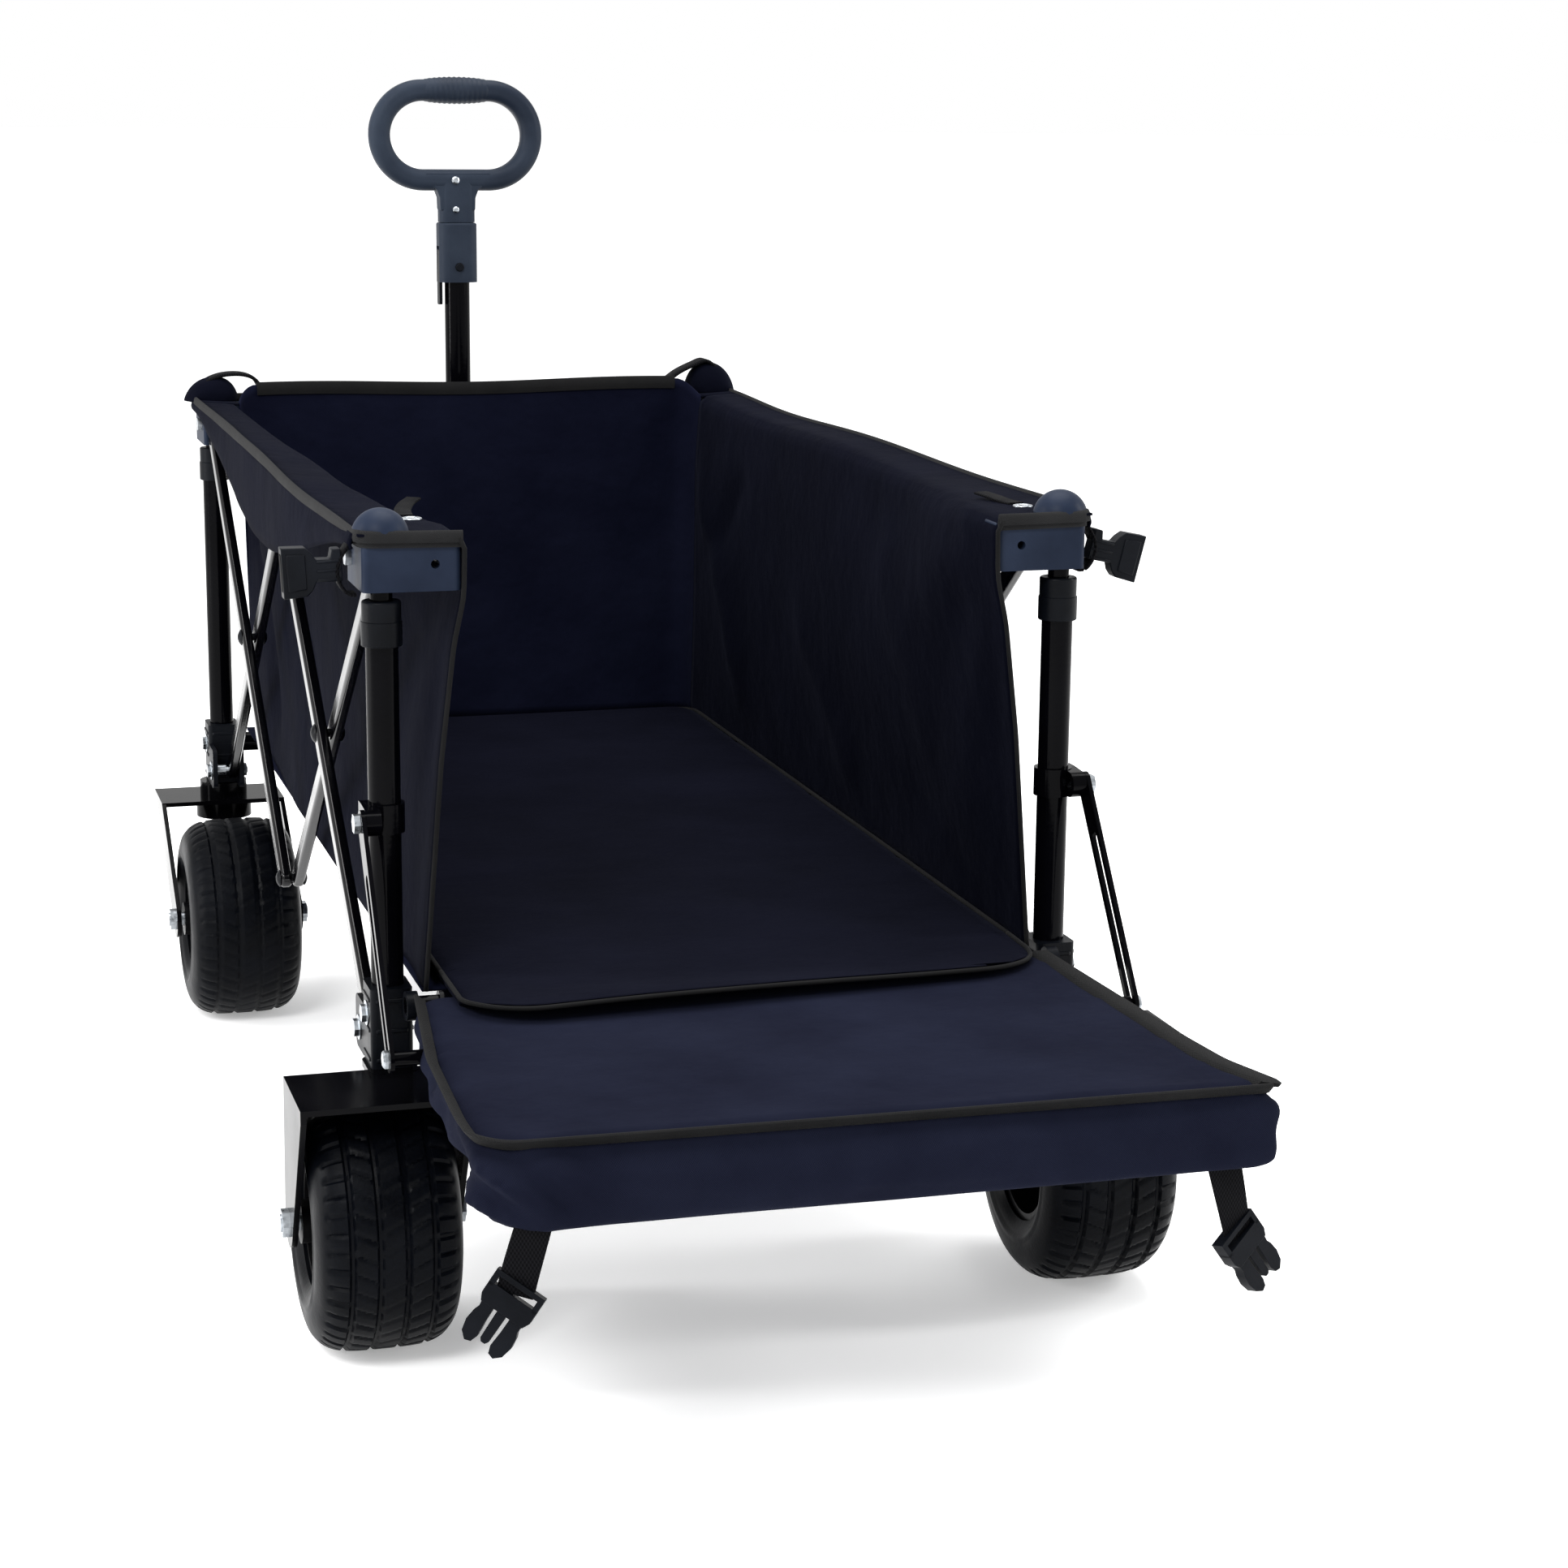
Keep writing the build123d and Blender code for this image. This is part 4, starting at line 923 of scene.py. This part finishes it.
def puff(mesh, cap, lift_cap):
    """Move the mesh outward as its cloth under pressure goes, with every move capped."""
    scene = bpy.context.scene
    bag = bpy.data.objects.new("bag", mesh.copy())
    scene.collection.objects.link(bag)
    filling = bag.modifiers.new("filling", "CLOTH")
    filling.settings.use_pressure = True
    filling.settings.uniform_pressure_force = 4.0
    filling.settings.effector_weights.gravity = 0.0
    filling.point_cache.frame_end = CLOTH_FRAMES
    for step in range(1, CLOTH_FRAMES + 1):
        scene.frame_set(step)
    before, normals = per_vertex(mesh, "co"), per_vertex(mesh, "normal")
    move = per_vertex(evaluated(bag).to_mesh(), "co") - before
    move -= np.minimum(0, (move * normals).sum(axis=1, keepdims=True)) * normals
    length = np.linalg.norm(move, axis=1, keepdims=True) + 1e-9
    move *= np.minimum(1, cap / length)
    move[:, 2] = np.clip(move[:, 2], -lift_cap, lift_cap)
    move[:, 1] = np.where(before[:, 1] > PAD_ROOT_Y - 0.012, 0, move[:, 1])
    mesh.vertices.foreach_set("co", (before + move).ravel())
    bpy.data.objects.remove(bag)
    scene.frame_set(1)


def swell(obj, voxel, cap, lift_cap):
    """Give the piece an even mesh, swelled by its filling."""
    even = obj.modifiers.new("even", "REMESH")
    even.mode = "VOXEL"
    even.voxel_size = voxel
    mesh = bpy.data.meshes.new_from_object(evaluated(obj))
    obj.modifiers.clear()
    material = obj.data.materials[0]
    puff(mesh, cap, lift_cap)
    mesh.materials.clear()
    mesh.materials.append(material)
    mesh.polygons.foreach_set("use_smooth", [True] * len(mesh.polygons))
    mesh.update()
    obj.data = mesh
    division = obj.modifiers.new("division", "SUBSURF")
    division.levels = division.render_levels = 1


rows = pad_rows()
shape = Shape().grid(rows, wrap=True, flip=True)
wide = len(rows[0])
shape.cap(0, wide)
shape.cap(len(shape.verts) - wide, wide, back=True)
pad = shape.make("tailgate_cover", [NAVY_PAD_LIT], "tailgate", "cloth")
swell(pad, voxel=0.0048, cap=0.007, lift_cap=0.0012)
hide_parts("tailgate_pad")

# The binding round the cover's top, which widens to a flat flange past the right front corner
EDGE_SECTION = [(-0.0070, -0.0065), (-0.0034, -0.0062), (0.0008, -0.0016), (0.0017, 0.0002),
                (0.0008, 0.0011), (-0.0008, 0.0010), (-0.0026, -0.0012), (-0.0060, -0.0030)]
FLANGE_SECTION = [(-0.0120, -0.0070), (-0.0040, -0.0065), (-0.0010, -0.0016), (0.0035, -0.0013),
                  (0.0048, 0.0002), (0.0035, 0.0012), (-0.0070, 0.0010), (-0.0120, -0.0030)]
line = [(p.x, p.y, PAD_HIGH.z - 0.0005) for p in pad_edge()]
tip = max(range(len(line)), key=lambda k: line[k][0] - 3 * line[k][1])
binding = Shape().sweep(resample(line[:tip + 1], 220), EDGE_SECTION)
binding.sweep(resample(line[tip:], 90), FLANGE_SECTION)
binding.make("tailgate_binding", [BINDING], "tailgate", "cloth", smooth=60)


# ---------------------------------------- buckles and their straps
def turned(origin, first, second, face):
    """A place function for prisms: outlines in two directions, levels along the face's normal."""
    return lambda a, b, c: origin + first * a + second * b + face * c


# Outlines outward and upward from the bracket's side
SOCKET_OUTLINE = ((0.0105, -0.0080), (0.0280, -0.0072), (0.0305, -0.0125), (0.0345, -0.0162),
                  (0.0500, -0.0170), (0.0500, 0.0170), (0.0340, 0.0162), (0.0300, 0.0120),
                  (0.0275, 0.0078), (0.0180, 0.0074), (0.0165, 0.0140), (0.0108, 0.0140))
SOCKET_PANEL = ((0.0345, -0.0115), (0.0470, -0.0125), (0.0470, 0.0125), (0.0345, 0.0115))
# The mouth is a near-black block: painted shade in place of the opening's inside.
SOCKET_MOUTH = rectangle(0.0480, -0.0128, 0.0504, 0.0128)
SOCKET_LOOP = ((0.2560, 0.5500), (0.2610, 0.5455), (0.2660, 0.5370), (0.2685, 0.5290),
               (0.2665, 0.5200), (0.2615, 0.5135), (0.2560, 0.5125))
SOCKET_Y = REAR_Y + 0.008
SOCKET_Z = 0.5305


def buckle_socket(side, name, droop):
    """A buckle's socket half on a rear corner, drooping by an angle, and its webbing loop."""
    outward = Vector((side * math.cos(droop), 0, -math.sin(droop)))
    upward = Vector((side * math.sin(droop), 0, math.cos(droop)))
    origin = Vector((side * BRACKET_OUT_X, SOCKET_Y, SOCKET_Z))
    place = turned(origin, outward, upward, Vector((0, -1, 0)))
    socket = Shape().prism(SOCKET_OUTLINE, -0.0062, 0.0062, place)
    socket.prism(SOCKET_PANEL, 0.0055, 0.0073, place)
    socket.prism(SOCKET_MOUTH, -0.0042, 0.0042, place, slot=1)
    for rib in (-0.006, 0.0, 0.006):
        ridge = rectangle(0.0115, rib - 0.0009, 0.0275, rib + 0.0009)
        socket.prism(ridge, 0.0055, 0.0070, place)
    socket = socket.make(f"buckle_socket_{name}", [DARK_NYLON, MOUTH_PAINTED_SHADE], "rear_top",
                         "slate_plastic", smooth=30, bevel=0.0011)
    if side < 0:
        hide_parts("female_buckles")
    path = [(side * x, SOCKET_Y, z) for x, z in SOCKET_LOOP]
    loop = Shape().sweep(resample(curve_through(path, 6), 30), plate(0.015, 0.0022), up=(1, 0, 0.2))
    loop.make(f"buckle_loop_{name}", [BLACK_WEB], "rear_top", "webbing", smooth=50)


# Outlines across and down from the webbing's end
PLUG_FRAME = (rectangle(-0.0168, -0.0045, 0.0168, -0.0012),
              rectangle(-0.0168, -0.0020, -0.0132, 0.0060),
              rectangle(0.0132, -0.0020, 0.0168, 0.0060),
              mirrored([(0.0168, 0.0040), (0.0168, 0.0120), (0.0145, 0.0165)]))
PLUG_BLADE = mirrored([(0.0032, 0.0150), (0.0028, 0.0345), (0.0014, 0.0365)])
PLUG_ARM = ((0.0056, 0.0150), (0.0142, 0.0150), (0.0136, 0.0200), (0.0150, 0.0235),
            (0.0158, 0.0300), (0.0142, 0.0370), (0.0100, 0.0408), (0.0062, 0.0396),
            (0.0046, 0.0350), (0.0054, 0.0250))
PLUG_LEAN = math.radians(35)
PLUG_TWIST = math.radians(24)


def buckle_plug(side, name, drop):
    """A webbing strap under the tailgate, longer by drop, with a buckle's plug half at its end."""
    x, y = side * 0.2170, centre_y(f"buckle_strap_{name}")
    bend = Vector((x + side * 0.0095, y, 0.1600 - drop))
    path = resample(curve_through([(x, y, 0.1985), (x + side * 0.0040, y, 0.1850 - drop / 3),
                                   (x + side * 0.0080, y, 0.1710 - drop * 0.7),
                                   bend + Vector((side * 0.002, 0, -0.003))]), 26)
    twists = [side * PLUG_TWIST * t for t in spaced(0, 1, 25)]
    ups = [Vector((math.sin(twist), -math.cos(twist), 0)) for twist in twists]
    plug = Shape().sweep(path, plate(0.0225, 0.0018), up=ups)
    down = Vector((side * math.sin(PLUG_LEAN), 0, -math.cos(PLUG_LEAN)))
    face = Vector((side * math.sin(PLUG_TWIST) * math.cos(PLUG_LEAN), -math.cos(PLUG_TWIST),
                   math.sin(PLUG_TWIST) * math.sin(PLUG_LEAN)))
    place = turned(bend, down.cross(face), down, face)
    for outline in PLUG_FRAME:
        plug.prism(outline, -0.0048, 0.0048, place, slot=1)
    plug.prism(PLUG_BLADE, -0.0036, 0.0036, place, slot=1)
    plug.prism([(-a, b) for a, b in reversed(PLUG_ARM)], -0.0042, 0.0042, place, slot=1)
    plug.prism(PLUG_ARM, -0.0042, 0.0042, place, slot=1)
    plug = plug.make(f"buckle_plug_{name}", [BLACK_WEB, DARK_NYLON], f"strap_{name}", "webbing",
                     smooth=32, bevel=0.0007)
    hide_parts(f"buckle_strap_{name}")


buckle_socket(-1, "left", math.radians(3))
buckle_socket(1, "right", math.radians(14))
buckle_plug(-1, "left", 0.0)
buckle_plug(1, "right", 0.008)


# ---------------------------------------- small hardware
def disc(shape, radius, x, y, z, out, height, steps=28):
    """Add a low round washer or cap on a face that looks along X; out is its direction."""
    profile = [(0.0001, height), (radius * 0.82, height), (radius, height * 0.7), (radius, 0)]
    shape.lathe(profile, lambda a, b, c: Vector((x + out * c, y + a, z + b * out)), steps)


def upright(x, y, z=0.0):
    """A place function for what stands on a point."""
    return lambda a, b, c: Vector((x + a, y + b, z + c))


RIB = mirrored([(0.0100, -0.0180), (0.0155, -0.0125), (0.0155, 0.0125), (0.0100, 0.0180)])
for end, y, inward in (("rear", REAR_Y, 1), ("front", FRONT_Y, -1)):
    washers, ribs = Shape(), Shape()
    for side, _ in SIDES:
        for z, back in ((0.226, 0.0), (LOW_PIVOT_Z, PIVOT_INSET)):
            disc(washers, 0.0088, side * BRACKET_OUT_X, y + inward * back, z, side, 0.0012)
        for z in (0.1950, 0.2155, 0.2365):
            ribs.prism(RIB, z, z + 0.0028, upright(side * POST_X, y))
    washers.make(f"{end}_washers", [ZINC], f"{end}_frame", "zinc", smooth=30)
    ribs.make(f"{end}_bracket_ribs", [DARK_NYLON], f"{end}_frame", "slate_plastic",
              smooth=30, bevel=0.0006)

pins = Shape()
for side, _ in SIDES:
    disc(pins, 0.0062, side * 0.2597, REAR_Y - 0.116, 0.228, side, 0.0036, steps=6)
pins.make("stay_pin_nuts", [ZINC], "tailgate", "zinc", smooth=30)

# Collars: a wider lower band on each post collar
for end, y in (("rear", REAR_Y), ("front", FRONT_Y)):
    low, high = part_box(f"{end}_post_collars")
    wide = high.x - POST_X + 0.0006
    profile = [(wide - 0.0012, 0.0), (wide, 0.0006), (wide, 0.0165), (wide - 0.0012, 0.0172)]
    bands = Shape()
    for side, _ in SIDES:
        bands.lathe(profile, upright(side * POST_X, y, low.z), 40)
    bands.make(f"{end}_collar_bands", [DARK_NYLON], f"{end}_frame", "slate_plastic", smooth=30)


# ---------------------------------------- pull handle details
BAR_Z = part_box("handle_grip")[1].z - 0.010
BAR_HALF_X = 0.031
RIDGES = 13
profile = []
for k, x in enumerate(spaced(-BAR_HALF_X, BAR_HALF_X, RIDGES * 4)):
    full = math.sqrt(math.cos(x / BAR_HALF_X * math.pi / 2)) if abs(x) < BAR_HALF_X else 0.0
    profile.append((0.0094 + (0.0028 + 0.0005 * (k % 4 in (1, 2))) * full, x))
grip = Shape().lathe(profile, lambda a, b, c: Vector((c, HANDLE_Y + 1.12 * a, BAR_Z + b)), 32)
neck = mirrored([(0.0168, 0.7260), (0.0172, 0.7380), (0.0200, 0.7455), (0.0270, 0.7505),
                 (0.0420, 0.7535), (0.0300, 0.7620)])
grip.prism(neck, -0.0102, 0.0102, lambda a, b, c: Vector((a, HANDLE_Y - c, b)))
grip.make("grip_trim", [GRIP_PLASTIC], "handle_extension", "slate_plastic", smooth=35, bevel=0.0014)

screws = Shape()
for z, radius in ((0.7545, 0.0036), (0.7270, 0.0030)):
    profile = [(0.0001, 0.0010), (radius * 0.5, 0.0010), (radius * 0.6, 0.0022), (radius, 0.0014),
               (radius, -0.001)]
    screws.lathe(profile, lambda a, b, c: Vector((a - 0.0025, HANDLE_Y - 0.0112 - c, z + b)), 20)
screws.make("grip_screws", [ZINC], "handle_extension", "zinc", smooth=30)


# ---------------------------------------- tyres
TREAD_STEPS = 288
GROOVES = (-0.0275, -0.0095, 0.0095, 0.0275)


def cut_at(phase, depth, start, end):
    """Depth of a cut that repeats with every whole phase, between its flat floor and its rim."""
    return depth * (1 - ease(abs(phase % 1.0 - 0.5), start, end))


def tread_depth(x, turn):
    """How deep the tread is cut at x across and turn round the tyre, in metres."""
    groove = max(0.0025 * (1 - ease(abs(x - g), 0.0010, 0.0022)) for g in GROOVES)
    offset = 0.5 if x > 0 else 0
    if abs(x) > 0.0285:             # shoulder lugs
        lug = cut_at(turn * 44 + offset, 0.0020, 0.08, 0.15)
        return max(groove, lug * ease(abs(x), 0.0285, 0.031))
    if 0.0105 < abs(x) < 0.0262:    # slanted bars
        return max(groove, cut_at(turn * 40 + abs(x) / 0.0262 * 0.9 + offset, 0.0014, 0.05, 0.11))
    return max(groove, cut_at(turn * 40 + x / 0.009 * 0.3, 0.0007, 0.05, 0.1))


def tyre(name, node, body, cut):
    """A tyre over the node, its tread cut to a share of its depth."""
    low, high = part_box(node)
    centre = (low + high) / 2
    half, radius = (high.x - low.x) / 2, (high.z - low.z) / 2
    flank = [(half - 0.006, 0.046), (half - 0.0015, 0.0535), (half, 0.064), (half - 0.0025, 0.075),
             (half - 0.007, 0.0815), (half - 0.0125, 0.0858), (half - 0.021, radius - 0.0012)]
    course = [(-a, b, 0) for a, b in flank] + [(-0.013, radius, 0), (0.013, radius, 0)]
    course += [(a, b, 0) for a, b in reversed(flank)]
    line = resample(curve_through(course), 92)
    rows = []
    for step in range(TREAD_STEPS):
        turn = step / TREAD_STEPS
        angle = 2 * math.pi * turn
        row = []
        for p in line:
            x, r = p.x, p.y
            if r > 0.080:
                r -= cut * tread_depth(x, turn) * ease(r, 0.080, 0.083)
            elif 0.0565 < r < 0.0600:
                x += math.copysign(0.0012 * math.sin(math.pi * (r - 0.0565) / 0.0035), x)
            row.append(centre + Vector((x, r * math.cos(angle), r * math.sin(angle))))
        rows.append(row)
    rows.append(rows[0])
    obj = Shape().grid(rows, wrap=True, flip=True).make(name, [RUBBER], body, "tyre", smooth=38)
    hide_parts(node)


for end, cut in (("front", 0.6), ("rear", 1.0)):
    for side in ("left", "right"):
        tyre(f"{end}_tread_{side}", f"{end}_tyre_{side}", f"{end}_wheel_{side}", cut)


# ---------------------------------------- stage, light and camera
def area_light(name, place, aim, size, power, colour=(1, 1, 1)):
    data = bpy.data.lights.new(name, "AREA")
    data.shape = "RECTANGLE"
    data.size, data.size_y = size
    data.energy = power
    data.color = colour
    lamp = bpy.data.objects.new(name, data)
    bpy.context.scene.collection.objects.link(lamp)
    lamp.location = place
    lamp.rotation_euler = (Vector(aim) - Vector(place)).to_track_quat("-Z", "Y").to_euler()


area_light("key", (-1.6, -2.2, 2.6), (0, 0, 0.35), (1.2, 0.9), 70)
area_light("top", (0.2, 0.3, 3.2), (0, 0, 0.3), (2.4, 2.4), 110)
area_light("left_strip", (-3.0, 0.4, 1.2), (0, 0.1, 0.35), (0.35, 2.0), 60)
area_light("right_strip", (2.8, -0.6, 1.4), (0, 0, 0.35), (0.4, 1.8), 40)

studio = bpy.data.worlds.new("studio")
studio.use_nodes = True
background = studio.node_tree.nodes["Background"].inputs
background["Color"].default_value = (1, 1, 1, 1)
background["Strength"].default_value = 1.0
bpy.context.scene.world = studio

n = Nodes("studio_floor")
paper = n.finish(n.ramp(n.noise(0.6, 2.0), (0.2, (0.965,) * 3), (0.8, (0.985,) * 3)), 0.9,
                 Specular_IOR_Level=0.1, Emission_Color=(1, 1, 1, 1), Emission_Strength=0.3)
ground = Shape().grid([[(x, y, 0) for x in (-30, 30)] for y in (-30, 60)], flip=True)
ground.make("studio_floor", [paper])

CAMERA_PLACE = (-0.5824, -2.3816, 0.8418)
LENS_MM, SENSOR_MM = 73.1, 36.0
yaw, pitch, roll = (math.radians(a) for a in (16.7, 12.3, 0.6))
level = Vector((math.cos(yaw), -math.sin(yaw), 0))
ahead = Vector((math.sin(yaw), math.cos(yaw), 0))
forward = ahead * math.cos(pitch) - Vector((0, 0, math.sin(pitch)))
upward = level.cross(forward)
right = level * math.cos(roll) + upward * math.sin(roll)
up = upward * math.cos(roll) - level * math.sin(roll)
camera_data = bpy.data.cameras.new("camera")
camera_data.lens = LENS_MM
camera_data.sensor_width = SENSOR_MM
camera = bpy.data.objects.new("camera", camera_data)
bpy.context.scene.collection.objects.link(camera)
turn = Matrix((right, up, -forward)).transposed().to_4x4()
camera.matrix_world = Matrix.Translation(CAMERA_PLACE) @ turn
bpy.context.scene.camera = camera
bpy.context.scene.view_settings.view_transform = "Standard"
